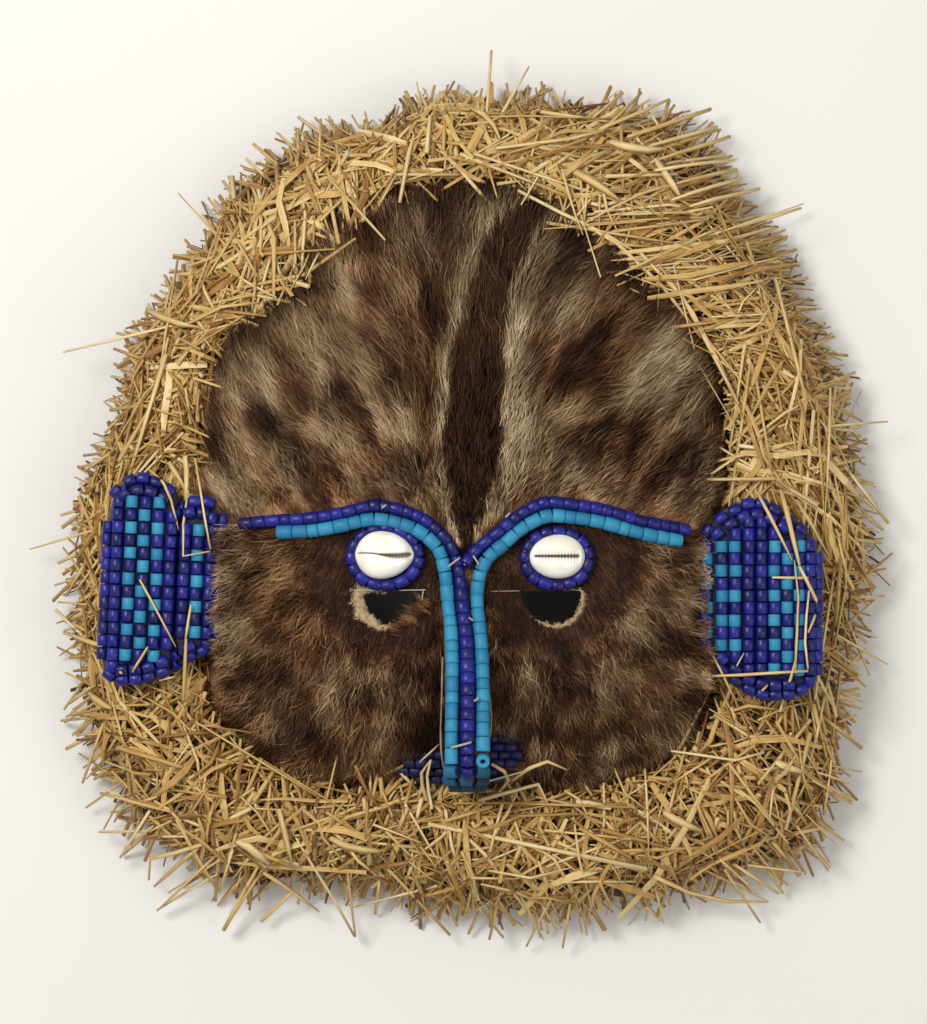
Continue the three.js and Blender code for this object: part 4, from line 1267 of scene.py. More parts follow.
# Painted shade: the tip's beads darken toward the underside and on its right half; the bead on its end keeps its own
# shade.
dull = 0.02 + 0.03 * (places[:, 1] + 112) - 0.14 * (places[:, 0] > 5)
painted_tip_shade = np.where(places[:, 1] < RING_BEAD[1] - 1, dull, 0.9)
shade = np.repeat(painted_tip_shade, len(shade) // len(places)) + 0.1 * (shade - 0.6)
add_piece("nose_tip_beads", points, faces, [LIGHT_BEAD], ["right_light_string"], "light_beads",
          attributes={"shade": shade})

# %% [markdown]
# ## Eyes
#
# Each eye is a money cowrie, sewn on with its slit across, inside a ring of dark beads. A cowrie is
# an egg with one flatter side where the two lips roll in toward the slit. The lips carry fine teeth.
# The shell is a closed sheet over a square that is squeezed into an ellipse, with its lines packed
# closely at the slit, and the slit and the teeth are taken off its height.

# %% Cowries
COWRIES = {
    "left": (-1, 1.1, {"half": (12.0, 9.8), "egg": 0.16, "lemon": 0.2, "slit": (0.16, 0.62),
                       "ends": (0.8, 0.97), "teeth": (0.25, 1.7), "bend": -0.9}),
    "right": (1, 0.4, {"half": (11.3, 9.1), "egg": -0.05, "lemon": 0.06, "slit": (0.3, 0.4),
                       "ends": (0.7, 0.86), "teeth": (0.85, 2.4), "bend": 0.0}),
}
COWRIE_BASE, COWRIE_RISE = 0.9, 7.0
TOOTH_PITCH = 1.28


def build_cowrie(half, egg, lemon, slit, ends, teeth, bend):
    """Top height = root of (1 - r^2), less a wide roll and a narrow groove round the slit line;
    the teeth are waves across it. lemon draws both ends out by 1 - lemon u^4. Returns the local
    points, the faces and how deep in the slit or between the teeth each lies, for the painted shade there."""
    across = np.linspace(-1, 1, 92)[:, None]
    raw = np.linspace(-1, 1, 48)[None]
    along = np.sign(raw) * np.abs(raw) ** 1.5
    u = across * np.sqrt(1 - along**2 / 2)
    v = along * np.sqrt(1 - across**2 / 2)
    radius = np.clip(np.hypot(u, v), 0, 1)
    x = half[0] * u
    y = half[1] * v * (1 - egg * u) * (1 - lemon * u**4)
    dome = np.sqrt(np.maximum(0, 1 - radius**2.2))
    slit_y = bend * np.sin((u + 0.15) * 3.0) * 0.6
    fade = 1 - eased(np.abs(u), *ends)
    width = np.interp(u, [-1, -0.2, 0.2, 0.75, 1], [slit[0], slit[0] * 1.2, slit[1], slit[1] * 1.2, slit[0]])
    away = y - slit_y
    roll = 0.9 * np.exp(-((away / 2.6) ** 2)) * fade
    groove = 2.0 * np.exp(-((away / width) ** 4)) * fade
    wave = 0.5 - 0.5 * np.cos(2 * np.pi * x / TOOTH_PITCH)
    tooth = 0.5 * teeth[0] * wave * np.exp(-((away / teeth[1]) ** 2)) * eased(np.abs(away), 0.1, 0.5) * fade
    top = np.stack([x, y, 0.25 + COWRIE_RISE * dome - roll - groove - tooth], axis=-1)
    low = np.stack([x, y, -0.25 - 2.4 * dome], axis=-1)
    # How far a point lies in the slit or between teeth, which the material paints as shade.
    darkening = np.clip(np.exp(-((away / (width * 1.5)) ** 2)) + tooth, 0, 1) * fade
    points, faces = closed_sheet(top, low)
    return points, faces, np.concatenate([darkening.ravel(), np.zeros(darkening.size)])


RING_CLEARANCE, RING_DROP = 1.7, 1.0
RING_BEADS = 15
for name, (side, up, shape) in COWRIES.items():
    centre = np.array([eye_x(side), EYE_Y + up])
    points, faces, darkening = build_cowrie(**shape)
    rest = float(face_height(*centre)) + HIDE_THICKNESS + COWRIE_BASE + 1.6
    points = points + [*centre, rest]
    add_piece(f"{name}_cowrie_shell", points, faces, [COWRIE], [f"{name}_cowrie"], "cowrie_shell",
              attributes={"slit": darkening})
    turn = np.linspace(0, 2 * np.pi, 300)
    ring_x = centre[0] + (shape["half"][0] + RING_CLEARANCE) * np.cos(turn)
    ring_y = centre[1] - RING_DROP + (shape["half"][1] + RING_CLEARANCE) * np.sin(turn)
    ring = np.column_stack([ring_x, ring_y, ground(ring_x, ring_y) + DARK_RADIUS * 0.95])
    pitch = np.sum(np.linalg.norm(np.diff(ring, axis=0), axis=1)) / RING_BEADS
    layout = on_path(ring, pitch, 0.16, 70 + side, gap=0.04)
    add_beads(f"{name}_ring_beads", layout, DARK_RADIUS, 72 + side, [DARK_BEAD], f"{name}_eye_ring", "dark_beads")
    add_thread(f"{name}_ring", ring[:-1:3], f"{name}_eye_ring")

# %% [markdown]
# ## Ears
#
# The ears are cloth cushions covered in beads, strung in columns and sewn down. Along the top and
# the bottom the beads lie crosswise and follow the edge. The light beads make checks: in some
# columns every even row is light and in others every odd row. The cushion's height is rounded off
# toward its outline, and the outer columns lie lower and are seen from the side.

# %% Ear layout
EAR_LAYOUT = {
    "left": {
        "columns": [(-23.2, "dark"), (-19.1, "dark"), (-13.8, "even"), (-8.4, "odd"), (-2.9, "even"), (2.3, "dark"),
                    (8.0, "dark"), (13.1, "even"), (18.2, "dark"), (22.4, "dark")],
        "first_row": 30.6, "row_pitch": 5.06, "valley": 5.3,
        "top": [(-24, 24), (-21, 36), (-16, 41), (-10, 42.4), (-3, 40.6), (2, 37), (5.2, 31), (9, 34), (16, 34),
                (20, 32), (24, 27)],
        "bottom": [(-24, -33), (-22.5, -39), (-17, -42.8), (-6, -41.5), (5, -37), (9, -33), (16, -30), (24, -25)],
    },
    "right": {
        "columns": [(-21.2, "odd"), (-15.4, "even"), (-10.0, "even"), (-4.6, "dark"), (0.5, "dark"), (5.7, "even"),
                    (10.8, "odd"), (15.5, "even"), (19.8, "dark"), (22.8, "dark")],
        "first_row": 30.8, "row_pitch": 4.88, "valley": None,
        "top": [(-24, 22), (-21, 29), (-14.8, 35), (-5.6, 40), (0, 40.4), (6.4, 37.5), (16.4, 30), (24, 22)],
        "bottom": [(-24, -16.4), (-21, -23), (-14.8, -30), (-5.6, -37.4), (2.4, -40.4), (12.4, -40), (18.8, -37.4),
                   (24, -32)],
    },
}
EAR_ROWS, LAST_LIT_ROW = 14, 12
EAR_BEAD, EAR_BEAD_HALVES = 2.5, (2.25, 2.45)
COLUMN_ROOM = {"inner": (9.1, 9.2), "outer": (3.0, 3.0), "outer_from": 17.0}
BORDER_LINES = (("top", 1, 2.2, 20.5), ("top", 1, 6.6, 17.0), ("bottom", -1, 2.2, 20.0), ("bottom", -1, 6.2, 15.0))
BORDER_PITCH = 5.25
EAR_SEAT, EAR_BULGE, VALLEY_DEPTH, VALLEY_HALF, PAD_SUNK = 46.4, 6.2, 3.4, 1.8, 0.9


def ear_height(name, u, v):
    """Height of the middles of the beads: seat + bulge sqrt((1 - a^4)(1 - b^6)), less the valley."""
    layout, half = EAR_LAYOUT[name], EARS[name]["size"][0] / 2
    top, bottom = np.interp(u, *zip(*layout["top"])), np.interp(u, *zip(*layout["bottom"]))
    a = np.clip(u / (half + 0.8), -1, 1)
    b = np.clip((2 * v - top - bottom) / (top - bottom), -1, 1)
    height = EAR_SEAT + EAR_BULGE * np.sqrt((1 - a**4) * (1 - b**6))
    if layout["valley"] is not None:
        height = height - VALLEY_DEPTH * np.exp(-(((u - layout["valley"]) / VALLEY_HALF) ** 2))
    return height


def from_ear_frame(name, u, v):
    """A place on an ear's bead layer, turned by the ear's tilt and moved to its middle."""
    turn, middle = np.radians(EARS[name]["tilt"]), EARS[name]["middle"]
    u, v = np.asarray(u, float), np.asarray(v, float)
    x = middle[0] + u * np.cos(turn) - v * np.sin(turn)
    y = middle[1] + u * np.sin(turn) + v * np.cos(turn)
    return np.stack([x, y, ear_height(name, u, v)], axis=-1)


def ear_beads(name):
    """Middles, axes and light or dark of all beads on one ear, columns first and then the borders."""
    layout = EAR_LAYOUT[name]
    rng = np.random.default_rng(80 if name == "left" else 81)
    spots = []
    for u, pattern in layout["columns"]:
        top, bottom = np.interp(u, *zip(*layout["top"])), np.interp(u, *zip(*layout["bottom"]))
        above, below = COLUMN_ROOM["inner" if abs(u) < COLUMN_ROOM["outer_from"] else "outer"]
        for row in range(-2, EAR_ROWS + 2):
            v = layout["first_row"] - layout["row_pitch"] * row
            if v > top - above or v < bottom + below:
                continue
            is_checked = 0 <= row <= LAST_LIT_ROW and pattern != "dark"
            is_light = is_checked and row % 2 == (0 if pattern == "even" else 1)
            spots.append((u + rng.uniform(-0.25, 0.25), v + rng.uniform(-0.2, 0.2), 0.0, 1.0, is_light))
    for edge, sign, inset, span in BORDER_LINES:
        for u in np.arange(-span, span + 0.1, BORDER_PITCH):
            line = np.interp([u - 1.5, u, u + 1.5], *zip(*layout[edge]))
            slope = (line[2] - line[0]) / 3
            spots.append((u, line[1] - sign * inset, 1.0, np.clip(slope, -1.2, 1.2), False))
    u, v, du, dv, is_light = (np.array(values) for values in zip(*spots))
    length = np.hypot(du, dv)
    step_u, step_v = du / length, dv / length
    axes = from_ear_frame(name, u + step_u, v + step_v) - from_ear_frame(name, u - step_u, v - step_v)
    return from_ear_frame(name, u, v), axes, is_light


def ear_pad(name):
    """The cushion: a closed sheet under the beads, from its flat back to just above their middles."""
    layout, half = EAR_LAYOUT[name], EARS[name]["size"][0] / 2
    u = half * np.sin(np.linspace(-np.pi / 2, np.pi / 2, 40))[:, None]
    top, bottom = np.interp(u, *zip(*layout["top"])), np.interp(u, *zip(*layout["bottom"]))
    v = bottom + (top - bottom) * (1 + np.sin(np.linspace(-np.pi / 2, np.pi / 2, 40))[None]) / 2
    u = u + 0 * v
    places = from_ear_frame(name, u, v)
    lower = np.concatenate([places[..., :2], np.full((*u.shape, 1), EAR_UNDERSIDE)], axis=-1)
    return closed_sheet(places - [0, 0, PAD_SUNK], lower)


for name in EARS:
    points, faces = ear_pad(name)
    pad = add_piece(f"{name}_ear_pad", points, faces, [PAD_CLOTH], [f"{name}_ear"])
    places, axes, is_light = ear_beads(name)
    halves = np.random.default_rng(90).uniform(*EAR_BEAD_HALVES, len(places))
    add_beads(f"{name}_ear_beads", (places, axes, halves), EAR_BEAD, 91, [DARK_BEAD, LIGHT_BEAD], f"{name}_ear",
              "dark_beads", is_light)
    print(name, "ear:", len(places), "beads,", int(is_light.sum()), "of them light")

# %% [markdown]
# ### Mouth beads
#
# The mouth's beads are smaller than the others and lie in offset rows, and their darker glass is a
# painted shade. They cover the lips and two patches that show beside the nose tip. A grid of places
# is laid over all of it, and only those inside one of the shapes get a bead.

# %% Mouth beads
LIP_TOP_Y, LIP_ROWS, LIP_STEP = -91.6, 9, 5.0
LIP_PITCH, LIP_BEAD, LIP_BEAD_HALF = 3.3, 1.95, 2.48
MOUTH_PATCHES = [((17.0, -99.0), (7.6, 8.8)), ((-13.8, -104.8), (9.8, 6.2))]


def patch_share(x, y, extra=0.0):
    """Distance from the middle of the nearer beaded patch beside the nose, 1 at its edge."""
    shares = [np.hypot((x - middle[0]) / (half[0] + extra), (y - middle[1]) / (half[1] + extra))
              for middle, half in MOUTH_PATCHES]
    return np.minimum(*shares)


spots = []
for row in range(LIP_ROWS):
    for x in np.arange(-26, 27, LIP_STEP) + LIP_STEP / 2 * (row % 2) + MOUTH_CENTRE[0]:
        y = LIP_TOP_Y - LIP_PITCH * row
        across, along = (x - MOUTH_CENTRE[0]) / MOUTH_HALF[0], (y - MOUTH_CENTRE[1]) / MOUTH_HALF[1]
        if patch_share(x, y) < 1.0 or (-0.8 < across < 0.64 and abs(along) < lip_share(across)):
            spots.append((x, y))
x, y = np.array(spots).T
lip_place = lambda x, y: np.stack([x, y, lip_height(x, y) + 0.4 * (patch_share(x, y) < 1) + 0 * x], axis=-1)
layout = (lip_place(x, y), lip_place(x + 1, y) - lip_place(x - 1, y), LIP_BEAD_HALF)
add_beads("lip_beads", layout, LIP_BEAD, 95, [MOUTH_BEAD_IN_PAINTED_SHADE], "mouth", "dark_beads")

# %% [markdown]
# ## Stitches
#
# Pale thread holds the beads down. It shows as short stitches where strings meet, and as a fine
# line along the top of each eye hole. Each stitch is a thin tube between two places read off the
# photograph, lifted to what lies under it.

# %% Stitches
STITCHES = [
    ((448, 566), (460, 557), 4.6, 0.42), ((473, 555), (479, 564), 4.8, 0.4), ((451.5, 742), (471, 736.5), 6.0, 0.45),
    ((383, 508), (387, 505), 4.8, 0.4), ((505, 517), (509, 513), 4.6, 0.4), ((474, 697), (478, 694), 5.6, 0.4),
    ((469, 616), (473, 619), 4.4, 0.35), ((356, 590), (386, 589), 1.1, 0.24), ((400, 589.5), (426, 589), 1.1, 0.24),
    ((490, 590.5), (519, 590), 0.5, 0.14), ((424, 589), (422, 600), 0.8, 0.26),
]
STITCH_RISE = 0.5


def photo_to_mm(px, py):
    """A pixel of the photograph as a place on the mask."""
    return (px - PHOTO_ORIGIN[0]) * PIXEL, (PHOTO_ORIGIN[1] - py) * PIXEL


tubes = []
for start, end, lift, radius in STITCHES:
    share = np.linspace(0, 1, 7)[:, None]
    flat = np.array(photo_to_mm(*start)) * (1 - share) + np.array(photo_to_mm(*end)) * share
    height = ground(flat[:, 0], flat[:, 1]) + lift + STITCH_RISE * np.sin(np.pi * share[:, 0])
    tubes.append(tube(np.column_stack([flat, height]), radius, 5))
points, faces = join_tubes(tubes)
add_piece("stitches", points, faces, [THREAD], ["left_light_string"])

# %% [markdown]
# ## Fur
#
# A hair is a thin spindle: a point at the root, a ring of three corners halfway along, and a point
# at the tip. Hair does not lie singly but in locks, whose hairs start apart and lean together at
# their tips, so each lock is laid first and its hairs after it. Every hair follows the heading of
# its place and rises from the hide as stand (1 - (1 - t)^2), t running from root to tip. Layers are
# grown one over the other: short thick hairs below, which hide the skin, and longer and finer ones
# above, which carry the pattern. The forehead has three layers and each cheek two.

# %% Hair
HAIR_KNOTS = np.array([0.0, 0.5, 1.0])
HAIR_CORNERS = np.radians([90, 210, 330])
HAIR_FACES = np.array([face for i, j in ((0, 1), (1, 2), (2, 0)) for face in ((0, 1 + i, 1 + j), (4, 1 + j, 1 + i))])
POINTS_PER_HAIR = 5
MIDDLE_TAPER = np.interp(0.5, [0.3, 0.75], [1.0, 0.7])
ROOT_DEPTH = 0.4
LOCK_TURN, HAIR_TURN, CURL = 0.12, 0.1, 0.22
LOCK_LENGTHS, HAIR_LENGTHS = (0.8, 1.15), (0.72, 1.1)
LOCK_STANDS, HAIR_STANDS = (0.55, 1.2), (0.3, 1.0)
LEAN_TOGETHER, THICKNESSES = (0.3, 0.8), (0.7, 1.2)
LOCK_TONE, HAIR_TONE, HAIR_WARMTH = 0.06, 0.11, 0.12


def fur_floor(x, y):
    """What the fur lies on: the hide, or an ear's beads where a hair reaches over them."""
    floor = face_height(x, y) + HIDE_THICKNESS
    for name, ear in EARS.items():
        u, v = in_ear_frame(ear, x, y)
        half = ear["size"][0] / 2
        is_over = (np.abs(u) < half) & (np.abs(v) < ear["size"][1] / 2 - 2)
        beads_top = ear_height(name, np.clip(u, -half, half), v) + EAR_BEAD + 0.2
        floor = np.where(is_over, np.maximum(floor, beads_top), floor)
    return floor


def lock_places(spacing, box, allowed, seed):
    """Roots of locks: a grid with jitter over a box, kept where the fur may grow."""
    rng = np.random.default_rng(seed)
    x, y = np.meshgrid(np.arange(box[0], box[2], spacing), np.arange(box[1], box[3], spacing))
    places = np.stack([x.ravel(), y.ravel()], axis=1)
    places = places + rng.uniform(-0.5, 0.5, places.shape) * spacing
    return places[allowed(places[:, 0], places[:, 1])]


def spindles(path, radius):
    """Points of closed spindles along paths of shape (hairs, 3, 3), one radius for each hair: the root,
    three corners round the middle knot, and the tip."""
    side = unit(np.cross(unit(path[:, 2] - path[:, 0]), [0.0, 0.0, 1.0]))
    rise = np.cross(side, unit(path[:, 2] - path[:, 0]))
    corners = [path[:, 1] + (np.cos(turn) * side + np.sin(turn) * rise) * radius[:, None] for turn in HAIR_CORNERS]
    return np.stack([path[:, 0], *corners, path[:, 2]], axis=1)


def grow(locks, per_lock, look, width, spread, seed, shorter=1.0, darker=0.0):
    """Lays per_lock hairs round every lock's root. look(x, y) gives heading, length, stand, and the
    tone and warmth that a hair shows at its outer half."""
    rng = np.random.default_rng(seed)
    count, total = len(locks), len(locks) * per_lock
    owner = np.repeat(np.arange(count), per_lock)

    def vary(deviation, size):
        """Random amounts either way of nothing."""
        return rng.normal(0, deviation, size)

    offset = vary(spread, (total, 2))
    root = locks[owner] + offset
    at_lock, at_root = look(*locks.T), look(*root.T)
    turn = at_lock["heading"][owner] + vary(LOCK_TURN, count)[owner] + vary(HAIR_TURN * at_root["fluff"], total)
    curl = vary(CURL, count)[owner] + vary(CURL * at_root["fluff"], total)
    length = at_root["length"] * rng.uniform(*LOCK_LENGTHS, count)[owner]
    length = length * rng.uniform(*HAIR_LENGTHS, total) * shorter
    stand = at_root["stand"] * rng.uniform(*LOCK_STANDS, count)[owner] * rng.uniform(*HAIR_STANDS, total)
    clump = rng.uniform(*LEAN_TOGETHER, total)
    t = HAIR_KNOTS[None, :, None]
    angle = (turn[:, None] + curl[:, None] * t[..., 0] / 2)[..., None]
    reach = length[:, None, None] * t * np.concatenate([np.cos(angle), np.sin(angle)], axis=-1)
    flat = root[:, None] + reach - offset[:, None] * clump[:, None, None] * t**1.3
    risen = stand[:, None] * (1 - (1 - t[..., 0]) ** 2)
    height = fur_floor(flat[..., 0], flat[..., 1]) + risen - ROOT_DEPTH * (1 - t[..., 0])
    path = np.concatenate([flat, height[..., None]], axis=-1)
    points = spindles(path, width / 2 * MIDDLE_TAPER * rng.uniform(*THICKNESSES, total))
    seen = look(*(root + reach[:, -1] * 0.6).T)
    tone = seen["tone"] + vary(LOCK_TONE, count)[owner] + vary(HAIR_TONE, total) - darker
    attributes = {
        "tone": np.repeat(tone, POINTS_PER_HAIR),
        "warmth": np.repeat(seen["warmth"] + vary(HAIR_WARMTH, total), POINTS_PER_HAIR),
        "along": np.tile([0.0, 0.5, 0.5, 0.5, 1.0], total),
    }
    return points.reshape(-1, 3), copies_of(HAIR_FACES, POINTS_PER_HAIR, total), attributes


FUR_BOX = (-110.0, -122.0, 112.0, 132.0)


def add_fur(name, locks, per_lock, look, width, spread, seed, pelt, shorter=1.0, darker=0.0):
    """Grows hairs from the locks and adds them as one piece. pelt is their material, node and slot; the slot is not
    used.
    """
    points, faces, attributes = grow(locks, per_lock, look, width, spread, seed, shorter, darker)
    add_piece(name, points, faces, [pelt[0]], [pelt[1]], pelt[2], attributes=attributes)


def add_layers(name, layers, look, allowed, lock_seed, seed, pelt):
    """Grows the layers of a pelt. A layer is its name, the spacing of its locks, the hairs of a lock,
    their width, their spread round the lock, their share of the length and how much darker they are."""
    for number, (layer, spacing, per_lock, width, spread, reach, darker) in enumerate(layers):
        locks = lock_places(spacing, FUR_BOX, allowed, lock_seed + number)
        add_fur(f"{name}_{layer}_fur", locks, per_lock, look, width, spread, seed + number, pelt, reach, darker)


# %% [markdown]
# ### The pattern on the forehead
#
# The forehead's fur is brindled: pale grey-brown, red-brown and near black in blots drawn out along
# the hair. A dark stripe runs up the middle, bends right as it climbs, and has a pale band on
# either side of it. The blots are noise in polar coordinates round a point under the chin, so
# they are long along the fur and narrow across it. The largest pale, dark and red spots are placed
# as on the photograph. Toward the straw the fur lies in shade and is darker, which needs the line
# where the two meet, so that line comes first.

# %% Forehead look
FUR_EDGE = [
    (465, 185), (411, 187), (344, 238), (314, 285), (260, 319), (230, 338), (207, 394), (206, 480), (201, 560),
    (208, 700), (235, 742), (330, 785), (392, 776), (430, 777), (466, 789), (500, 779), (535, 784), (600, 793),
    (686, 752), (716, 700), (722, 560), (726, 456), (726, 376), (705, 334), (646, 285), (582, 236), (521, 187),
]
fur_edge_mm = np.array([photo_to_mm(*place) for place in FUR_EDGE])


def inner_edge(angle):
    """Distance from the origin to the edge of the fur that shows."""
    return radius_at(fur_edge_mm, (0.0, 0.0), angle)


FAN_POINT, FAN_SCALE = (12.0, -150.0), 190.0
LIGHT_SPOTS = [
    (271, 380, 9, 22, 0.56), (245, 370, 9, 18, 0.24), (238, 414, 8, 28, 0.3), (250, 458, 8, 18, 0.18),
    (316, 424, 10, 14, 0.48), (340, 450, 8, 18, 0.34), (361, 480, 8, 16, 0.22), (320, 372, 12, 16, 0.28),
    (372, 394, 8, 18, 0.28), (394, 424, 7, 20, 0.14), (298, 325, 8, 18, 0.22), (325, 335, 7, 18, 0.18),
    (352, 290, 8, 24, 0.26), (347, 262, 8, 16, 0.2), (384, 276, 10, 16, 0.2), (346, 352, 9, 16, 0.2),
    (392, 466, 8, 14, 0.2), (225, 485, 9, 16, 0.2), (278, 477, 9, 14, 0.16), (586, 478, 16, 15, 0.46),
    (558, 416, 9, 16, 0.44), (586, 414, 10, 16, 0.34), (622, 384, 10, 18, 0.24), (655, 362, 22, 28, 0.28),
    (664, 338, 14, 16, 0.18), (578, 302, 13, 18, 0.16), (592, 300, 12, 16, 0.1), (557, 318, 9, 16, 0.22),
    (539, 240, 7, 20, 0.24), (595, 250, 10, 16, 0.22), (676, 430, 8, 26, 0.36), (711, 392, 7, 20, 0.16),
    (645, 470, 7, 16, 0.34), (530, 466, 10, 18, 0.3), (500, 208, 14, 22, 0.34), (420, 236, 10, 18, 0.12),
    (673, 502, 14, 10, 0.14),
]
DARK_SPOTS = [
    (271, 416, 9, 16, -0.3), (284, 437, 9, 10, -0.16), (303, 392, 10, 12, -0.24), (356, 411, 8, 20, -0.3),
    (370, 443, 8, 14, -0.28), (397, 370, 9, 24, -0.2), (414, 403, 8, 20, -0.2), (256, 340, 16, 14, -0.26),
    (364, 287, 8, 12, -0.14), (432, 305, 12, 26, -0.16), (374, 244, 12, 12, -0.18), (327, 468, 12, 10, -0.1),
    (401, 470, 8, 14, -0.12), (577, 362, 12, 22, -0.18), (552, 428, 10, 12, -0.34), (572, 442, 12, 12, -0.34),
    (604, 430, 14, 12, -0.34), (634, 442, 14, 11, -0.32), (526, 432, 9, 12, -0.2), (664, 468, 9, 18, -0.32),
    (687, 456, 8, 16, -0.26), (698, 368, 5, 8, -0.2), (606, 325, 9, 14, -0.16), (651, 314, 12, 16, -0.22),
    (628, 269, 12, 14, -0.18), (566, 262, 10, 16, -0.2), (624, 477, 7, 12, -0.26), (420, 205, 22, 12, -0.16),
    (606, 244, 14, 10, -0.12),
]
RED_SPOTS = [
    (330, 488, 60, 12, 0.5), (650, 490, 60, 12, 0.5), (600, 432, 44, 14, 0.6), (400, 380, 22, 40, 0.3),
    (577, 362, 20, 26, 0.6), (600, 300, 26, 20, 0.4), (300, 350, 30, 30, 0.25),
]


def spot_weight(x, y, spot, heading):
    """A soft oval round a spot, its long side along the hair: exp(-((a/A)^2 + (b/B)^2) / 2)."""
    spot_x, spot_y = photo_to_mm(spot[0], spot[1])
    dx, dy = x - spot_x, y - spot_y
    across, along = dy * np.cos(heading) - dx * np.sin(heading), dx * np.cos(heading) + dy * np.sin(heading)
    return np.exp(-((across / (spot[2] * PIXEL)) ** 2 + (along / (spot[3] * PIXEL)) ** 2) / 2)


def stretched_noise(x, y, across, along, seed):
    """Noise drawn out along the rays from the fan point: blots across by along millimetres."""
    dx, dy = x - FAN_POINT[0], y - FAN_POINT[1]
    return soft_noise(np.arctan2(dx, dy) * FAN_SCALE / across, np.hypot(dx, dy) / along, 1.0, seed)


def forehead_look(x, y):
    """Lie, length, stand, tone and warmth of the forehead's fur at a place."""
    blots = 0.5 * stretched_noise(x, y, 9, 20, 11) + 0.5 * stretched_noise(x, y, 4, 13, 12)
    tone = 0.38 + 0.8 * (blots - 0.5)
    warmth = 0.34 + 1.2 * (stretched_noise(x, y, 12, 30, 14) - 0.5)
    bent_x = x + 7 * (soft_noise(x, y, 9, 15) - 0.5)
    bent_y = y + 9 * (soft_noise(x, y, 9, 16) - 0.5)
    for spot in LIGHT_SPOTS + DARK_SPOTS + RED_SPOTS:
        weight = spot[4] * spot_weight(bent_x, bent_y, spot, forehead_heading(*photo_to_mm(spot[0], spot[1])))
        if spot in RED_SPOTS:
            warmth = warmth + weight
        else:
            tone = tone + weight
            warmth = warmth - 0.5 * np.maximum(weight, 0)
    out, half = stripe_across(bent_x * 0.4 + x * 0.6, y)
    off = np.abs(out) / half
    in_stripe = 1 - eased(off, 0.84, 1.12)
    broad = np.where(out < 0, 1.75 - 0.35 * eased(y, -5, 20), 2.1) + 0.5 * eased(y, 70, 100)
    flank = eased(off, 0.85, 1.15) * (1 - eased(off, broad - 0.4, broad + 0.3)) * (1 - 0.3 * eased(y, 60, 115))
    tone = tone * (1 - flank) + flank * (0.7 + 0.9 * (blots - 0.5))
    in_stripe_tone = 0.04 + 0.12 * eased(y, 30, 66) + 0.14 * (blots - 0.5)
    tone = tone * (1 - in_stripe) + in_stripe * in_stripe_tone
    warmth = warmth * (1 - flank) * (1 - in_stripe) + 0.5 * in_stripe
    from_straw = np.hypot(x, y) / inner_edge(np.arctan2(y, x))
    tone = tone - (0.07 + 0.1 * eased(y, 30, 70)) * eased(from_straw, 0.9, 0.98) * (1 - in_stripe)
    length = 11.5 + 9.5 * eased(y, 0, 50)
    room = 1 - 0.6 * eased(outline_share(x, y), 0.86, 0.99)
    room = room * (1 - 0.4 * eased(np.abs(x - 1), 84, 100) * (1 - eased(y, 0, 14)))
    low = eased(y - brow_y(x), -1, 14)
    stand = (1.6 + 5.4 * low) * (0.5 + 0.5 * room) * (1 - 0.65 * eased(from_straw, 0.98, 1.05))
    return {"heading": forehead_heading(x, y), "length": length * room, "stand": stand,
            "tone": tone, "warmth": np.clip(warmth, 0, 1), "fluff": 0.7 + 0 * x}


def forehead_allowed(x, y):
    """Where the forehead's fur may be rooted: above the brow, inside the face and off the ears."""
    return (y > brow_y(x) - 0.5) & (outline_share(x, y) < 0.985) & (over_ears(x, y, 0.0) < 0.3)


def add_hide(name, flat, look, source, edge, material, node, slot, is_ring):
    """A thin closed sheet on the face, in the tones of its fur, with the fur's lie for its streaks."""
    x, y = flat[..., 0], flat[..., 1]
    lift = HIDE_THICKNESS * (1 + 0.5 * edge) + 0.6 * soft_noise(x, y, 3, 4) * (1 - edge)
    top = np.stack([x, y, face_height(x, y) + lift], axis=-1)
    points, faces = closed_sheet(top, np.stack([x, y, face_height(x, y) + 0.1], axis=-1), is_ring)
    seen = look(x.ravel(), y.ravel())
    lie = lie_of(x, y, source)
    attributes = {"lie": np.concatenate([lie, lie]), "edge": np.tile(edge.ravel(), 2)}
    for key in ("tone", "warmth"):
        attributes[key] = np.tile(seen[key], 2)
    add_piece(name, points, faces, [material], [node], slot, attributes=attributes)


flat = forehead_hide()
add_hide("forehead_hide", flat, forehead_look, FOREHEAD_SOURCE, 0 * flat[..., 0], FOREHEAD_HIDE,
         "forehead_pelt", "forehead_fur", False)
FOREHEAD_LAYERS = [
    ("under", 5.0, 16, 0.55, 2.3, 0.9, 0.05), ("middle", 4.2, 17, 0.36, 1.9, 1.0, 0.01),
    ("top", 5.2, 26, 0.27, 2.3, 1.06, -0.02),
]
add_layers("forehead", FOREHEAD_LAYERS, forehead_look, forehead_allowed, 100, 103,
           (FOREHEAD_FUR, "forehead_pelt", "forehead_fur"))

# %% [markdown]
# ### Cheeks
#
# Round the eyes the fur is short, smooth and olive brown; away from them it lengthens, stands
# higher and breaks into tufts with paler tips. It keeps clear of the eye holes, the rings, the
# nose and the lips, and at the ears it reaches over the first beads.

# %% Cheek look
def eye_nearness(x, y):
    """1 in the short-haired patch round an eye, falling to 0 some 16 mm outside it."""
    near = np.zeros(np.shape(x))
    for side in (-1, 1):
        for out, middle_y, reach in ((32, -36, 19), (48, -26, 13), (24, -24, 12)):
            away = np.hypot(x - EYE_AXIS_X - side * out, (y - middle_y) / 1.05)
            near = np.maximum(near, 1 - eased(away, reach, reach + 14))
    return near


CORNER, REDDISH, SHADED = (94.0, -88.0), (64, -72), (34, -96)


def round_spot(x, y, centre, size):
    """1 at a centre, falling off round it: exp(-d^2 / (2 size^2)), d being the distance."""
    return np.exp(-((x - centre[0]) ** 2 + (y - centre[1]) ** 2) / (2 * size**2))


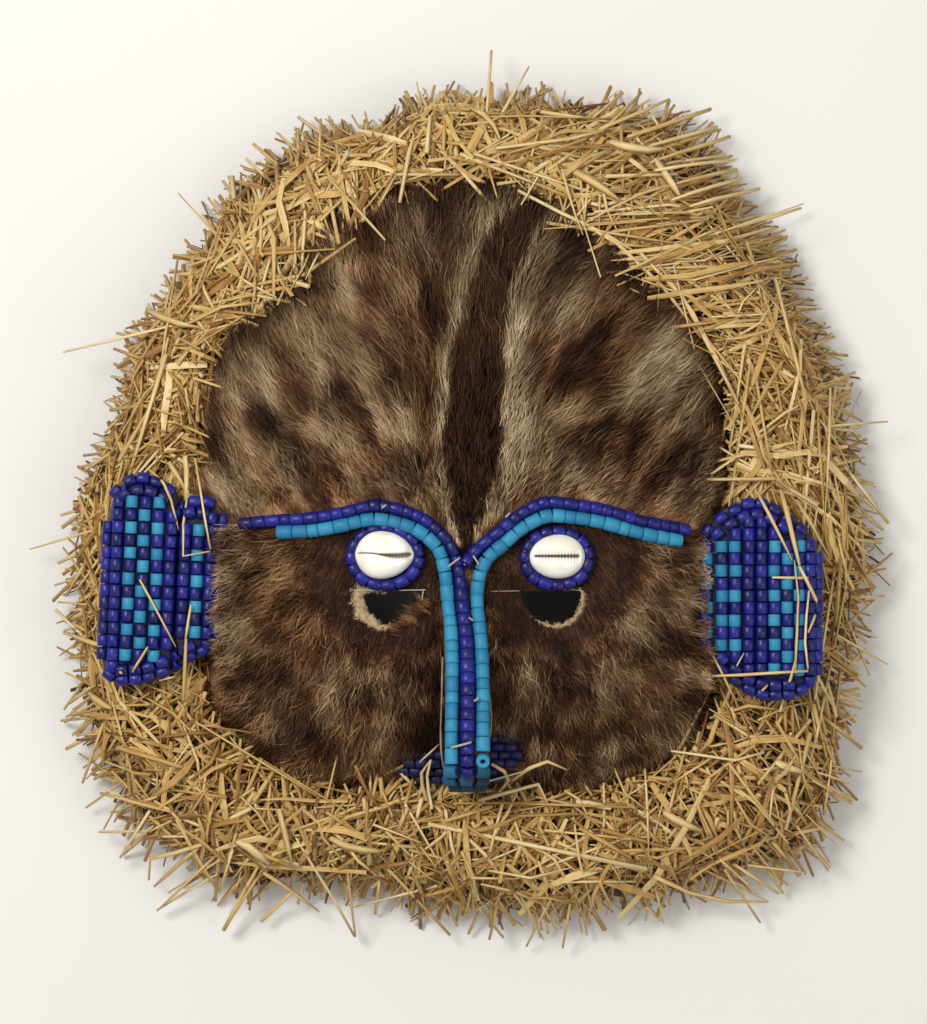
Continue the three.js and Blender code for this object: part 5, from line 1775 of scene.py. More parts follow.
def cheek_look(x, y):
    """Lie, length, stand, tone and warmth of the cheeks' fur at a place. At the lower right corner the
    hair is longest and hangs out over the straw."""
    near = eye_nearness(x, y)
    blots = 0.45 * soft_noise(x, y, 10, 21) + 0.3 * soft_noise(x, y, 5, 22) + 0.25 * soft_noise(x, y, 2.4, 23)
    tone = 0.4 + (1.2 + 0.2 * (x > 0)) * (blots - 0.5) * (1 - 0.75 * near) - 0.32 * near
    warmth = 0.52 + 0.9 * (soft_noise(x, y, 15, 24) - 0.5) * (1 - near) + 0.15 * (x < 0)
    warmth = warmth + 0.5 * round_spot(x, y, REDDISH, 13.0)
    # Painted shade: below and beside the nose the fur is darker, and so it is in the round spot at SHADED.
    tone = tone - 0.2 * (1 - eased(np.abs(x - 3), 10, 34)) * eased(-y, 40, 80)
    tone = tone - 0.16 * round_spot(x, y, SHADED, 9.0) + 0.08 * eased(np.abs(x), 60, 92)
    beside_ear = eased(np.abs(x - 1), 78, 96) * (y > -76)
    room = (1 - 0.3 * eased(outline_share(x, y), 0.9, 0.99)) * (1 - 0.5 * beside_ear)
    room = room * (1 - 0.4 * beside_ear * eased(x, 80, 96) * eased(y, -56, -36))
    room = room * (0.35 + 0.65 * eased(patch_share(x, y), 1.1, 2.2))
    corner = round_spot(x, y, CORNER, 13.0)
    room = room * (1 + 0.9 * corner)
    length = (3.8 + 11.4 * (1 - near)) * room
    stand = (1.1 + 5.8 * (1 - near)) * (0.5 + 0.5 * room) * (1 - 0.25 * corner)
    return {"heading": cheek_heading(x, y), "length": length, "stand": stand, "tone": tone,
            "warmth": np.clip(warmth, 0, 1), "fluff": 0.8 + 1.2 * (1 - near)}


BELOW_BROW = ([-92, -86, -75, -71, 90, 95], [0.5, 3.2, 3.2, 6.2, 6.2, 0.5])
BARE_ROUND_EYE = (15.6, 13.0)


def cheek_allowed(side):
    """Where a cheek's fur may be rooted, as a function of place."""

    def allowed(x, y):
        """True on this side, under the brow strings and clear of ears, hole, ring, nose and lips."""
        strings = np.interp(x, *BELOW_BROW)
        ok = (y < brow_y(x) - strings) & (outline_share(x, y) < 0.985) & ((x - 1.5) * side > 0)
        ok &= over_ears(x, y, 0.0) < 0.3
        ok &= (np.abs(x - 1) < 96.5) | (y < -76)
        ok &= ~inside(x, y, eye_hole(side, 2.4))
        ring_x = (x - eye_x(side)) / BARE_ROUND_EYE[0]
        ring_y = (y - EYE_Y + RING_DROP) / BARE_ROUND_EYE[1]
        ok &= ring_x**2 + ring_y**2 > 1
        on_nose = (np.abs(nose_across(x, y)) < 1.15) | (np.abs(x - 2) < 8.5)
        ok &= ~(on_nose & (y < -24))
        lip_x, lip_y = (x - MOUTH_CENTRE[0]) / MOUTH_HALF[0], (y - MOUTH_CENTRE[1]) / (MOUTH_HALF[1] + 1)
        ok &= (lip_x**4 + lip_y**4 > 1) & (patch_share(x, y, 1.5) > 1)
        return ok

    return allowed


CHEEK_LAYERS = [("under", 4.4, 15, 0.5, 2.0, 0.9, 0.05), ("top", 4.0, 27, 0.29, 1.9, 1.0, -0.02)]
for side, name in ((-1, "left"), (1, "right")):
    flat, edge = cheek_hide(side)
    add_hide(f"{name}_cheek_hide", flat, cheek_look, CHEEK_SOURCE, edge, CHEEK_HIDE, f"{name}_cheek_pelt",
             "cheek_fur", True)
    add_layers(f"{name}_cheek", CHEEK_LAYERS, cheek_look, cheek_allowed(side), 112 + 2 * side, 117,
               (CHEEK_FUR, f"{name}_cheek_pelt", "cheek_fur"))

# %% [markdown]
# ### Round the eye holes
#
# The photograph shows bare, cream-coloured hide at the left edge of the left hole, cut roughly and
# frayed into short fibres, and a tuft of brown fur that falls over the same hole's lower right
# corner. The right hole has only a thin pale rim, lower right. Both are grown with the same
# function as the fur, from places chosen along the hole's edge.

# %% Frayed edges and a tuft
FRAY = {"left": {"side": -1, "way": 188, "spread": 26, "width": 2.8, "locks": 190, "length": 2.8},
        "right": {"side": 1, "way": -38, "spread": 30, "width": 0.7, "locks": 60, "length": 1.3}}
FIBRES_PER_LOCK, FIBRE_WIDTH, FIBRE_SPREAD = 12, 0.26, 0.5


def fray_look(centre, length):
    """Pale fibres of that length, which point every way, a little more toward the hole."""

    def look(x, y):
        """The same five values as for fur, at a place."""
        inward = np.arctan2(centre[1] - y, centre[0] - x)
        heading = inward + 2.6 * (soft_noise(x * 9, y * 9, 3, 41) - 0.5) * 2
        flat = np.ones(np.shape(x))
        fading = eased(inward, 0.5, 1.3)
        return {"heading": heading, "length": length * flat, "stand": 1.1 * flat, "fluff": 3.0 * flat,
                "tone": 0.9 - 0.26 * fading + 0.5 * (soft_noise(x, y, 0.8, 42) - 0.5), "warmth": 0.25 * flat}

    return look


TUFT = {"from": (404, 628), "to": (432, 604), "locks": 22, "hairs": 20, "width": 0.3, "spread": 1.2}


def tuft_look(x, y):
    """Fur that leans up and left over the corner of the hole."""
    seen = cheek_look(x, y)
    seen["heading"] = np.radians(150) + 0.8 * (soft_noise(x, y, 4, 43) - 0.5)
    seen["length"], seen["stand"] = 8.0 + 0 * x, 3.0 + 0 * x
    seen["tone"] = 0.3 + 0.4 * (soft_noise(x, y, 3, 44) - 0.5)
    seen["warmth"] = 0.8 + 0 * x
    return seen


for name, fray in FRAY.items():
    rng = np.random.default_rng(45 + fray["side"])
    side = fray["side"]
    centre = hole_centre(side)
    way = np.radians(fray["way"] + rng.normal(0, 1, fray["locks"]) * fray["spread"])
    reach = radius_at(eye_hole(side, 0.2), centre, way) + rng.uniform(0.2, fray["width"], fray["locks"])
    add_fur(f"{name}_hole_fray", polar(centre, reach, way), FIBRES_PER_LOCK, fray_look(centre, fray["length"]),
            FIBRE_WIDTH, FIBRE_SPREAD, 46 + side, (CHEEK_FUR, f"{name}_cheek_pelt", "cheek_fur"))

start, end = (np.array(photo_to_mm(*TUFT[key])) for key in ("from", "to"))
along = np.linspace(0, 1, TUFT["locks"])[:, None]
jitter = np.random.default_rng(47).normal(0, 0.9, (TUFT["locks"], 2))
locks = start * (1 - along) + end * along + jitter + [1.2, -1.2]
add_fur("left_hole_tuft", locks, TUFT["hairs"], tuft_look, TUFT["width"], TUFT["spread"], 48,
        (CHEEK_FUR, "left_cheek_pelt", "cheek_fur"))

# %% [markdown]
# ## Straw ruff
#
# The ruff is straw laid by the handful: thousands of stems, some straight, some snapped and some
# curled, with a few flat leaves. A stem is a rod with a section of four corners, closed at both
# ends. Its place is drawn at random on the ring between the fur's edge and the ruff's outline, its
# direction from what is usual in that part of the ring, and its height is the ruff's surface less
# a random depth. It slides along its own line until it lies inside the ring. A dark, lumpy core
# fills the ring underneath, so that the gaps between stems are deep and never empty.

# %% Where straw lies
STRAW_EDGE = [
    417, 406, 406, 417, 452, 415, 410, 393, 400, 374, 362, 362, 380, 406, 442, 470, 443, 409, 408, 438, 452, 509,
    450, 424,
]
EDGE_STEP, EDGE_BULGE = 15, 7.0
STRAW_SURFACE = ([0.0, 0.25, 0.72, 1.0, 1.3], [43.0, 50.0, 40.0, 20.0, 8.0])
UNDER_EAR = 41.0


def outer_edge(angle):
    """Distance from the origin to the straw's outline, read off the photograph every 15 degrees, with
    small bulges where handfuls of straw stand out."""
    steps = np.radians(np.arange(0, 360, EDGE_STEP))
    bulge = soft_noise(20 + 10 * np.cos(angle), 20 + 10 * np.sin(angle), 1.0, 219) - 0.5
    edge = np.interp(angle % (2 * np.pi), steps, np.array(STRAW_EDGE) * PIXEL, period=2 * np.pi)
    return edge + EDGE_BULGE * bulge


def straw_surface(x, y):
    """Height of the ruff's top: a low hill between its edges, and the fur's top where it laps the fur."""
    angle, reach = np.arctan2(y, x), np.hypot(x, y)
    start, end = inner_edge(angle), outer_edge(angle)
    top = np.interp((reach - start) / (end - start), *STRAW_SURFACE)
    on_face = outline_share(x, y)
    fur_top = face_height(x, y) + 2.0 + 6.0 * (1 - eased(on_face, 0.84, 1.0))
    return np.where(on_face < 1, np.maximum(top, fur_top), top)


def keep_under_ears(flat, height):
    """Lowers whole stems so that none runs through an ear: (stems, knots) heights."""
    worst = np.zeros(len(height))
    for share in np.linspace(0, 1, 7):
        knot = share * (height.shape[1] - 1)
        low = min(int(knot), height.shape[1] - 2)
        part = knot - low
        place = flat[:, low] * (1 - part) + flat[:, low + 1] * part
        level = height[:, low] * (1 - part) + height[:, low + 1] * part
        is_over = over_ears(place[:, 0], place[:, 1], 1.0) > 0.3
        worst = np.maximum(worst, np.where(is_over, level - UNDER_EAR, 0))
    return height - worst[:, None]


# %% [markdown]
# ### Stems
#
# A stem's section is a small diamond, rolled by chance about the stem's own line and narrowing along
# it. The walls are shaded as round and the two ends as flat. Each point also keeps its place along
# and across the fibres, shifted at random from stem to stem, so that the straw's fine lines run
# along every stem and no two look the same.

# %% Stems
STEM_CORNERS = np.array([(1.0, 0.0), (0.0, 1.0), (-1.0, 0.0), (0.0, -1.0)])
SHORTEST_STEM, STEM_ROLL, NARROWEST = 3.0, 0.7, 0.12
FIBRE_SHIFT = 400


def rods(path, width, thick, tone, seed, pointed=0.0):
    """Closed rods of four-cornered section along paths of shape (stems, knots, 3), with the tone of
    each stem and the place along and across its fibres. A pointed rod narrows at both ends by that
    share, one value for all or one for each. Paths that have shrunk to a crumb are left out."""
    rng = np.random.default_rng(seed)
    stems, knots = path.shape[:2]
    along = unit(np.gradient(path, axis=1))
    side = unit(np.cross(along, [0.0, 0.0, 1.0]))
    rise = np.cross(side, along)
    roll = rng.uniform(-STEM_ROLL, STEM_ROLL, stems)[:, None, None]
    side, rise = np.cos(roll) * side + np.sin(roll) * rise, np.cos(roll) * rise - np.sin(roll) * side
    along_share = np.linspace(0, 1, knots)[None, :, None]
    at_ends = np.reshape(pointed, (-1, 1, 1)) * np.abs(2 * along_share - 1) ** 3
    taper = np.maximum(1 - 0.5 * along_share * rng.random((stems, 1, 1)) - at_ends, NARROWEST)
    points, fibre = [], []
    steps = np.linalg.norm(np.diff(path, axis=1), axis=2)
    run = np.concatenate([np.zeros((stems, 1)), np.cumsum(steps, axis=1)], axis=1)
    start = rng.uniform(0, FIBRE_SHIFT, (stems, 1))
    for across, up in STEM_CORNERS:
        out = across * width[:, None, None] / 2 * side + up * thick[:, None, None] / 2 * rise
        points.append(path + out * taper)
        corner = [across * width[:, None] / 2 + start, up * thick[:, None] / 2 + start, run + start]
        fibre.append(np.stack(np.broadcast_arrays(*corner), axis=-1))
    whole = np.linalg.norm(path[:, -1, :2] - path[:, 0, :2], axis=1) > SHORTEST_STEM
    points = np.stack(points, axis=2)[whole].reshape(-1, 3)
    fibre = np.stack(fibre, axis=2)[whole].reshape(-1, 3) * MM
    walls = grid_faces(knots, 4, closed_columns=True)
    last = 4 * (knots - 1)
    ends = np.array([(3, 2, 1, 0), (last, last + 1, last + 2, last + 3)])
    each = 4 * knots
    one = outward(points[:each] - points[0], np.concatenate([walls, ends]))[1]
    return points, copies_of(one, each, int(whole.sum())), {"fibre": fibre, "tone": np.repeat(tone[whole], each)}


def round_walls(faces, knots):
    """Which faces of rods are shaded as round: the walls, and not the two ends."""
    each = 4 * (knots - 1) + 2
    return np.arange(len(faces)) % each < each - 2


ANY_WAY_RADIAL, RADIAL_SPREAD = 0.35, 0.6
STRAW_WAYS = [
    (0, -72, 26, 0.75), (20, -40, 36, 0.5), (34, 8, 13, 0.84), (48, 12, 12, 0.86), (62, 22, 24, 0.6),
    (95, 60, 60, 0.2), (150, 80, 50, 0.2), (185, 85, 30, 0.35), (225, 120, 60, 0.2), (270, 90, 60, 0.15),
    (305, -40, 40, 0.3), (335, -45, 26, 0.55), (360, -72, 26, 0.75),
]


def usual_way(angle, rng):
    """A direction for each stem: near the usual one of its part of the ring, or any at all. Each entry
    above is a place on the ring, the way that straw lies there, its spread, and the share that does."""
    at, way, spread, share = np.array(STRAW_WAYS, float).T
    turn = np.degrees(angle) % 360
    nearest = np.argmin(np.abs(turn[:, None] + rng.normal(0, 7, (len(angle), 1)) - at[None]), axis=1)
    follows = rng.random(len(angle)) < share[nearest]
    usual = np.radians(way[nearest] + rng.normal(0, 1, len(angle)) * spread[nearest])
    radial = angle + rng.normal(0, RADIAL_SPREAD, len(angle))
    any_way = rng.random(len(angle)) < ANY_WAY_RADIAL
    anything = np.where(any_way, radial, rng.uniform(0, 2 * np.pi, len(angle)))
    return np.where(follows, usual, anything)


BROOM_AT, BROOM_HALF = 36, 30


def broom(angle):
    """1 in the middle of the brush of long, fine stems at the upper right, falling to 0 round it."""
    turn = (np.degrees(angle) + 180) % 360 - 180
    return np.exp(-(((turn - BROOM_AT) / BROOM_HALF) ** 2))


def fitted(middle, way, length, rng):
    """Slides each stem along its own line, and shortens it only if it must, until it lies between the
    fur's edge and the outline, give or take a little at either."""
    inward = rng.exponential(2.2, len(middle))
    outward_room = 1 + np.where(rng.random(len(middle)) < 0.3, rng.uniform(0.0, 0.065, len(middle)),
                                rng.uniform(-0.08, 0.01, len(middle)))
    is_along = np.abs(np.cos(way - np.arctan2(middle[:, 1], middle[:, 0]))) < 0.5
    outward_room = np.where(is_along, np.minimum(outward_room, 0.975), outward_room)
    heading = np.stack([np.cos(way), np.sin(way)], axis=1)
    reach = []
    for sense in (1, -1):
        free = np.ones(len(middle), bool)
        room = np.zeros(len(middle))
        for share in np.linspace(0.1, 1, 10):
            end = middle + sense * heading * (length * share)[:, None]
            angle, away = np.arctan2(end[:, 1], end[:, 0]), np.hypot(end[:, 0], end[:, 1])
            free &= (away > inner_edge(angle) - inward) & (away < outer_edge(angle) * outward_room)
            room = np.where(free, length * share, room)
        reach.append(room)
    fore, back = reach
    spare = np.maximum(0, fore + back - length)
    start = -back + spare * rng.random(len(middle))
    end = np.minimum(start + length, fore)
    return middle + heading * start[:, None], middle + heading * end[:, None]


LENGTH_LIMITS, HEIGHT_LIMITS, MOST_BOW, DEPTH_TO_DARK = (8, 95), (1.4, 74), 0.25, 24


def lay_straw(count, lengths, knots, kink, deep, seed, is_low=False):
    """Paths of stems in the ring. lengths gives the middle and the spread of their logarithm, kink the
    sideways swing of the middle knots as a share of the length, deep the mean depth."""
    rng = np.random.default_rng(seed)
    angle = rng.uniform(0, 2 * np.pi, count)
    start, end = inner_edge(angle), outer_edge(angle)
    share = rng.beta(1.05, 0.9, count) if not is_low else rng.uniform(0.5, 1.0, count)
    reach = start + (end - start) * share * 0.96
    middle = polar((0.0, 0.0), reach, angle)
    way = usual_way(angle, rng)
    length = np.exp(rng.normal(np.log(lengths[0]), lengths[1], count)) * (1 + 1.2 * broom(angle))
    first, last = fitted(middle, way, np.clip(length, *LENGTH_LIMITS), rng)
    t = np.linspace(0, 1, knots)[None, :, None]
    flat = first[:, None] * (1 - t) + last[:, None] * t
    if knots > 2:
        size = np.linalg.norm(last - first, axis=1)[:, None, None]
        sideways = np.stack([-np.sin(way), np.cos(way)], axis=1)[:, None]
        bow = np.clip(rng.normal(0, kink, (count, 1, 1)), -MOST_BOW, MOST_BOW) * 2 * t * (1 - t)
        bow = bow + rng.normal(0, kink * 0.12, (count, knots, 1))
        flat = flat + size * bow * sideways
    depth = rng.exponential(deep, (count, 1)) + rng.normal(0, 1.4, (count, knots)) + 0.5
    surface = straw_surface(flat[..., 0], flat[..., 1])
    height = surface - depth
    if is_low:
        height = 2.0 + rng.random((count, 1)) * (surface * 0.8 - 3) + rng.normal(0, 2.5, height.shape)
    height = np.clip(keep_under_ears(flat, height), *HEIGHT_LIMITS)
    path = np.concatenate([flat, height[..., None]], axis=-1)
    return path, np.clip(depth[:, 0] / DEPTH_TO_DARK, 0, 1), rng


# %% [markdown]
# ### The heap
#
# Three kinds of straw make the heap: straight stems, stems with a snapped middle, and flat leaves
# that taper to both ends. A quarter of each kind lies low, near the table, and fills the ruff's
# sides. The deeper a stem lies, the darker it is, as less light gets there, and toward the bottom
# and the left the straw is painted darker still: a painted shade.

# %% Heap of straw
LOW_SHARE, LOW_DARKNESS, SPREAD_OF_TONE, FLAT_BELOW = 0.24, 0.35, 0.18, 0.5
HEAP = [
    ("straw_stems", 5400, (34, 0.45), 2, 0.0, 8.0, (1.0, 2.3), 0.7, 0.0),
    ("straw_snapped", 2900, (30, 0.4), 3, 0.15, 7.0, (0.9, 2.2), 0.6, 0.3),
    ("straw_leaves", 1300, (30, 0.45), 4, 0.13, 5.0, (1.7, 3.6), 0.18, 0.35),
]
for number, (name, count, lengths, knots, kink, deep, (thin, broad), flatness, pointed) in enumerate(HEAP):
    shapes = []
    for is_low in (False, True):
        amount = int(count * (LOW_SHARE if is_low else 1 - LOW_SHARE))
        path, buried, rng = lay_straw(amount, lengths, knots, kink, deep, 200 + 2 * number + is_low, is_low)
        width = rng.uniform(thin, broad, amount) * np.where(rng.random(amount) < 0.3, 0.62, 1.0)
        width = width * (1 - 0.28 * broom(np.arctan2(path[:, 0, 1], path[:, 0, 0])))
        buried = buried * LOW_DARKNESS if is_low else buried
        usual_tone = 0.62 if flatness < FLAT_BELOW else 0.7
        tone = np.clip(rng.normal(usual_tone, SPREAD_OF_TONE, amount), 0.3, 1.0) - 0.8 * buried
        # Painted shade: the straw is darker toward the bottom and toward the left.
        tone = tone - 0.07 * eased(-path[:, 0, 1], -40, 60) - 0.06 * eased(-path[:, 0, 0], 60, 120)
        shapes.append((path, width, tone))
    path, width, tone = (np.concatenate(parts) for parts in zip(*shapes))
    points, faces, attributes = rods(path, width, np.maximum(0.45, width * flatness), tone, 210 + number, pointed)
    is_round = False if flatness < FLAT_BELOW else round_walls(faces, knots)
    add_piece(name, points, faces, [STRAW], ["straw_fringe"], "straw", is_smooth=is_round, attributes=attributes)

# %% [markdown]
# ### The frayed outline
#
# A heap that keeps inside its outline looks clipped. So some hundreds of short, straight stems are
# rooted in its outer half, with their tips a little inside or past the outline. A stem whose root
# would come out past the outline too is turned inward, or it would lie loose beside the ruff.

# %% Frayed outline
FRAYED, ROOTS_INSIDE, ROUND_SHARE = 620, 0.94, 0.8


def frayed_ends(seed=214):
    """Straight stems rooted in the ruff's outer half, whose tips stand a little past the outline."""
    rng = np.random.default_rng(seed)
    angle = rng.uniform(0, 2 * np.pi, FRAYED)
    way = usual_way(angle, rng)
    outward_part = np.cos(way - angle)
    slant = np.clip(rng.normal(0, 0.7, FRAYED), -1.1, 1.1)
    way = np.where(np.abs(outward_part) < 0.4, angle + slant, way + np.pi * (outward_part < 0))
    low = eased(-np.sin(angle), 0.3, 0.7)
    tip_reach = outer_edge(angle) * (rng.uniform(0.95, 1.045, FRAYED) + 0.06 * low * rng.random(FRAYED) ** 2)
    tip = polar((0.0, 0.0), tip_reach, angle)
    length = rng.uniform(16, 40, FRAYED)[:, None]
    root = tip - length * np.stack([np.cos(way), np.sin(way)], axis=1)
    root_reach = outer_edge(np.arctan2(root[:, 1], root[:, 0])) * ROOTS_INSIDE
    way = np.where(np.hypot(*root.T) > root_reach, angle + 0.3 * slant, way)
    root = tip - length * np.stack([np.cos(way), np.sin(way)], axis=1)
    tip_z = straw_surface(*tip.T) * rng.uniform(0.25, 1.1, FRAYED)
    root_z = straw_surface(*root.T) * rng.uniform(0.55, 0.97, FRAYED)
    height = keep_under_ears(np.stack([root, tip], axis=1), np.clip(np.stack([root_z, tip_z], axis=1), 2, 70))
    path = np.concatenate([np.stack([root, tip], axis=1), height[..., None]], axis=-1)
    return path, rng.uniform(0.9, 2.0, FRAYED), np.clip(rng.normal(0.68, 0.16, FRAYED), 0.34, 1.0)


path, width, tone = frayed_ends()
points, faces, attributes = rods(path, width, width * ROUND_SHARE, tone, 215)
add_piece("straw_ends", points, faces, [STRAW], ["straw_fringe"], "straw", is_smooth=round_walls(faces, 2),
          attributes=attributes)

# %% [markdown]
# ### The core
#
# What lies under the stems is hardly seen, so it is one lumpy ring in the colours of shaded straw.
# Its section is scaled to the ruff's width all round, and its top stays well below the heap's.

# %% Core of the ruff
CORE_SECTION = [(0.02, 7.0), (0.02, 37.0), (0.28, 44.0), (0.66, 35.0), (0.9, 17.0), (0.72, 6.0)]
CORE_TURNS, CORE_STEPS, CORE_WIDTH = 200, 30, 30
CORE_DEPTH, CORE_LUMPS, CORE_GAP = 9.0, 2.4, 0.3


def build_core():
    """A ring swept round the face, its section scaled to the ruff's width and roughened by noise."""
    angle = np.linspace(0, 2 * np.pi, CORE_TURNS, endpoint=False)[:, None]
    corners = np.array([*CORE_SECTION, CORE_SECTION[0]], float) * [CORE_WIDTH, 1]
    section = spaced(corners, CORE_STEPS + 1)[:-1] / [CORE_WIDTH, 1]
    share, height = section[None, :, 0], section[None, :, 1]
    inner = polar(FACE_CENTRE, outline_radius(angle) + CORE_GAP, angle)
    outer = polar((0.0, 0.0), outer_edge(angle), angle)
    rough = soft_noise(angle * 26 + 0 * share, share * 14 + height / 3, 1.0, 220) - 0.5
    grow_by = np.clip(share + 0.05 * rough * (share > 0.1), 0, 1)
    flat = inner * (1 - grow_by[..., None]) + outer * grow_by[..., None]
    top = straw_surface(flat[..., 0], flat[..., 1]) - CORE_DEPTH
    z = np.minimum(height + CORE_LUMPS * rough, np.maximum(top + CORE_LUMPS * rough, 5.0))
    z = np.where(over_ears(flat[..., 0], flat[..., 1], 2.0) > 0.2, np.minimum(z, UNDER_EAR - 2), z)
    points = np.concatenate([flat, np.maximum(z, 3.0)[..., None]], axis=-1).reshape(-1, 3)
    faces = grid_faces(CORE_TURNS, CORE_STEPS, closed_rows=True, closed_columns=True)
    return outward(points, faces)


points, faces = build_core()
around = np.repeat(np.arange(CORE_TURNS) / CORE_TURNS * 900, CORE_STEPS)
fibre = np.stack([points[:, 2], np.hypot(points[:, 0], points[:, 1]), around], axis=1) * MM
tone = soft_noise(points[:, 0], points[:, 1], 6, 221) * 0.6
add_piece("straw_core", points, faces, [DEEP_STRAW], ["straw_fringe"], "straw",
          attributes={"fibre": fibre, "tone": tone})

# %% [markdown]
# ### Straws that stand out
#
# The eye picks out the single straws: those that stick out past the outline, and those that lie
# over the ears and the fur. They are laid one by one, as paths read off the photograph, each with
# its width; each is lifted onto what lies under it, and a straw that sticks out ends at a given tip.

# %% Single straws
STICK_OUT = [
    ((-160.2, 60, 24), -0.24), ((-174.8, -20, 14), -0.06), ((174.6, 32, 18), 0.03), ((175.2, -67, 12), 0.05),
    ((13.4, 183.2, 16), 0.0), ((28.6, 176, 22), 0.08), ((139.8, 120, 26), 0.12), ((151.8, -150, 12), 0.02),
    ((126.6, -164, 10), -0.15), ((42.6, -183.2, 8), 0.1), ((34.6, -179, 14), -0.08), ((-42.2, -178.4, 10), -0.1),
    ((-95.8, -175.6, 10), 0.02), ((-123.4, -168, 8), 0.06), ((-114, 124.8, 18), 0.0),
]
LOOSE = [
    ([(94, 798), (170, 812)], 1.6), ([(91, 839), (147, 835), (170, 822)], 1.4), ([(118, 855), (150, 829)], 1.3),
    ([(200, 846), (176, 856), (138, 866), (142, 888)], 2.3), ([(196, 850), (176, 868), (147, 895)], 2.3),
    ([(150, 919), (214, 879)], 1.3), ([(176, 820), (208, 890), (214, 898)], 2.1), ([(218, 940), (256, 870)], 2.5),
    ([(256, 931), (290, 898)], 1.9), ([(262, 876), (316, 920)], 2.3), ([(352, 946), (296, 838)], 1.9),
    ([(420, 760), (439, 742)], 0.9), ([(456, 790), (530, 768)], 1.1), ([(491, 762), (512, 775), (499, 792)], 1.7),
    ([(512, 779), (541, 757), (566, 768)], 2.0), ([(478, 800), (545, 782), (549, 806)], 2.2),
    ([(427, 800), (419, 775), (431, 758)], 2.2), ([(432, 808), (426, 780), (431, 758)], 1.8),
    ([(655, 878), (710, 908), (775, 910)], 2.2), ([(767, 932), (727, 873)], 1.3), ([(764, 902), (722, 862)], 1.2),
    ([(789, 891), (752, 846)], 1.2),
    ([(813, 879), (751, 869)], 1.2), ([(835, 877), (799, 828)], 1.2), ([(844, 851), (809, 817)], 1.2),
    ([(859, 809), (815, 782)], 1.2), ([(856, 788), (820, 774)], 1.1), ([(829, 818), (837, 750)], 1.3),
    ([(671, 751), (744, 761), (764, 752)], 1.5), ([(645, 769), (649, 860)], 1.4),
    ([(518, 191), (568, 218), (610, 237), (647, 260)], 1.9), ([(640, 254), (683, 298), (706, 340), (738, 404)], 1.9),
    ([(560, 213), (612, 240), (662, 287), (702, 338)], 1.8), ([(656, 262), (693, 312), (718, 356), (744, 424)], 1.6),
    ([(562, 170), (571, 204), (582, 237)], 1.4), ([(328, 177), (386, 243)], 1.4), ([(319, 257), (307, 282)], 1.2),
    ([(673, 92), (600, 128)], 2.0), ([(716, 101), (628, 136)], 2.2), ([(722, 120), (640, 148)], 2.0),
    ([(735, 130), (650, 162)], 2.2), ([(738, 154), (655, 170)], 2.0), ([(741, 164), (668, 186)], 1.8),
    ([(746, 173), (672, 200)], 2.0), ([(766, 182), (690, 206)], 2.0), ([(809, 201), (735, 226)], 1.4),
]
LEAVES = [
    ([(610, 142), (640, 150), (668, 147)], 4.2), ([(572, 171), (596, 184), (620, 202)], 4.4),
    ([(655, 158), (668, 178), (681, 198)], 4.0), ([(576, 801), (594, 803), (611, 808)], 3.6),
    ([(663, 812), (682, 824), (702, 831)], 4.4), ([(776, 762), (788, 768), (802, 772)], 3.8),
    ([(140, 306), (170, 322), (200, 328)], 3.8), ([(85, 694), (96, 702), (110, 709)], 3.6),
    ([(236, 842), (252, 850), (268, 866)], 4.4), ([(279, 808), (286, 838), (291, 870)], 3.2),
    ([(470, 105), (490, 118), (500, 140)], 3.4), ([(330, 838), (352, 850), (380, 852)], 3.8),
]
OVER_EARS = [
    ([(142, 579), (160, 612), (177, 646)], 1.3), ([(134, 671), (150, 646)], 1.2), ([(174, 505), (180, 530)], 1.1),
    ([(189, 490), (184, 530), (185, 558), (193, 562), (212, 551)], 1.2), ([(195, 458), (204, 505), (212, 549)], 1.1),
    ([(170, 462), (180, 478), (190, 497)], 2.4), ([(186, 456), (188, 480), (186, 500)], 2.8),
    ([(184, 700), (188, 638)], 1.8), ([(193, 604), (187, 640)], 1.2), ([(122, 671), (142, 694)], 1.3),
    ([(160, 680), (176, 676)], 1.0),
    ([(712, 655), (735, 700)], 1.3), ([(706, 676), (770, 672), (806, 670)], 1.4), ([(780, 712), (793, 660)], 1.4),
    ([(793, 672), (797, 580), (792, 560)], 1.3), ([(770, 577), (820, 578)], 1.4), ([(756, 492), (790, 560)], 1.6),
    ([(780, 490), (797, 565)], 2.6), ([(797, 566), (822, 614)], 1.4), ([(796, 500), (832, 560)], 1.8),
    ([(806, 632), (824, 590)], 1.2), ([(806, 668), (802, 636), (807, 590)], 1.3), ([(734, 480), (728, 506)], 1.0),
    ([(735, 665), (742, 652)], 0.9), ([(760, 690), (766, 684)], 1.2), ([(150, 470), (170, 488), (177, 520)], 1.6),
]


STICK_WIDTH, MIDDLE_HEIGHT, LOWEST = 1.35, 40.0, 1.6
STRAW_THICK, LEAF_THICK = 0.85, 0.2


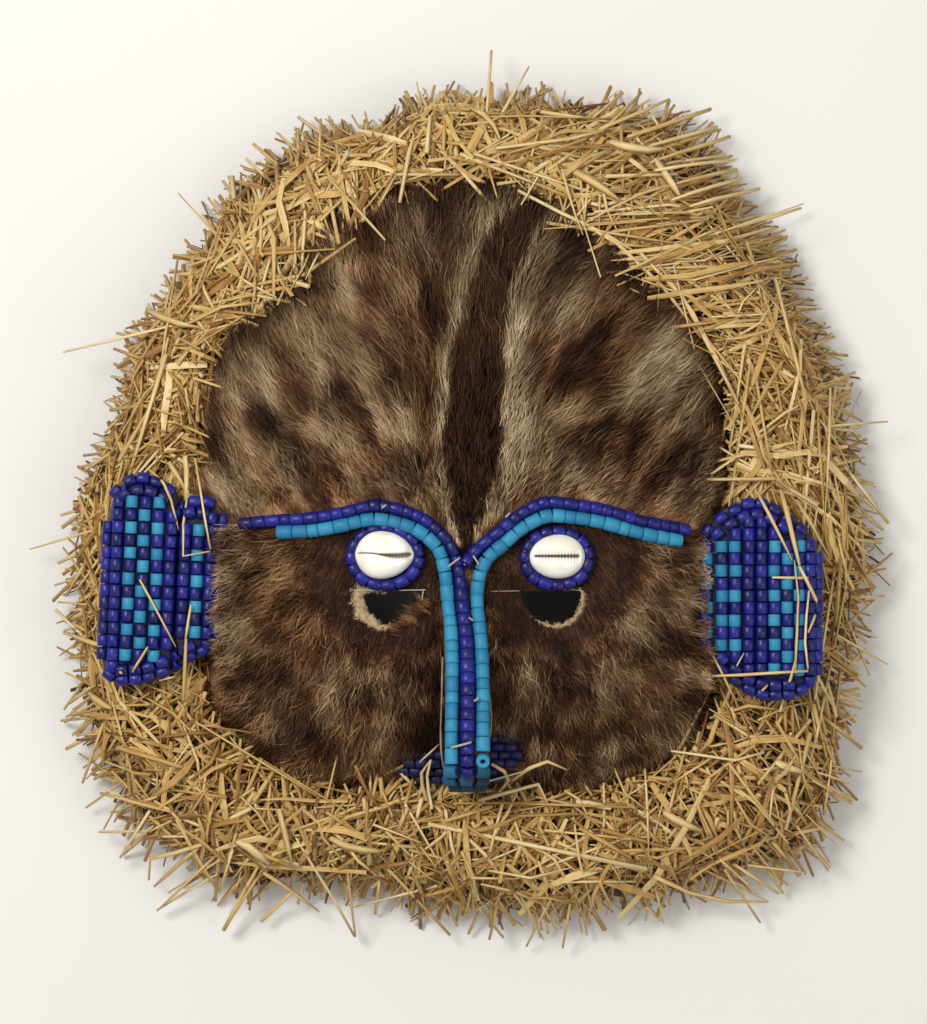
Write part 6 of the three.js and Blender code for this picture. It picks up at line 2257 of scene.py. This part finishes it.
def photo_paths(entries, knots, height_of, seed):
    """Paths through places read off the photograph, spaced out to a common number of knots."""
    rng = np.random.default_rng(seed)
    paths = []
    for places, _ in entries:
        flat = spaced(np.array([photo_to_mm(*place) for place in places], float), knots)
        lift = height_of(flat) + rng.normal(0, 0.5, knots)
        paths.append(np.column_stack([flat, lift]))
    return np.array(paths)


def over_ear_height(flat):
    """Just above the ear's beads over an ear, and above the ruff beside it."""
    return np.maximum(fur_floor(flat[:, 0], flat[:, 1]) + 0.9, straw_surface(flat[:, 0], flat[:, 1]) + 0.6)


def stick_out_path(tip, lean, knots=4):
    """From the middle of the ruff out to a tip, falling evenly to the tip's height."""
    angle = np.arctan2(tip[1], tip[0]) + lean
    start = (inner_edge(angle) + outer_edge(angle)) / 2
    root = np.append(polar((0.0, 0.0), start, angle), MIDDLE_HEIGHT)
    share = np.linspace(0, 1, knots)[:, None]
    return root * (1 - share) + np.array(tip, float) * share


def on_top(flat):
    """Just above the ruff, and above the hairs where a straw lies over the fur."""
    x, y = flat.T
    return straw_surface(x, y) + 0.8 + 2.6 * (outline_share(x, y) < 0.97)


paths = [
    photo_paths(LOOSE, 4, on_top, 230), photo_paths(LEAVES, 4, on_top, 231),
    photo_paths(OVER_EARS, 4, over_ear_height, 232), np.array([stick_out_path(*entry) for entry in STICK_OUT]),
]
width = np.array([width for _, width in LOOSE + LEAVES + OVER_EARS] + [STICK_WIDTH] * len(STICK_OUT))
is_leaf = np.repeat([False, True, False, False], [len(part) for part in paths])
path = np.concatenate(paths)
path[..., 2] = np.maximum(path[..., 2], LOWEST)
tone = np.random.default_rng(233).uniform(0.66, 0.95, len(path))
thick = width * np.where(is_leaf, LEAF_THICK, STRAW_THICK)
points, faces, attributes = rods(path, width, thick, tone, 234, np.where(is_leaf, 0.4, 0.25))
add_piece("single_straws", points, faces, [STRAW], ["straw_fringe"], "straw", is_smooth=round_walls(faces, 4),
          attributes=attributes)

# %% Finish
visual_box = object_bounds()
{"cad": [list(corner) for corner in cad_box], "visual": [list(corner) for corner in visual_box]}
for name, box in (("CAD", cad_box), ("visual", visual_box)):
    print(name, "box in mm:", [[round(value / MM, 1) for value in corner] for corner in box])
print("triangles in all:", triangle_total)
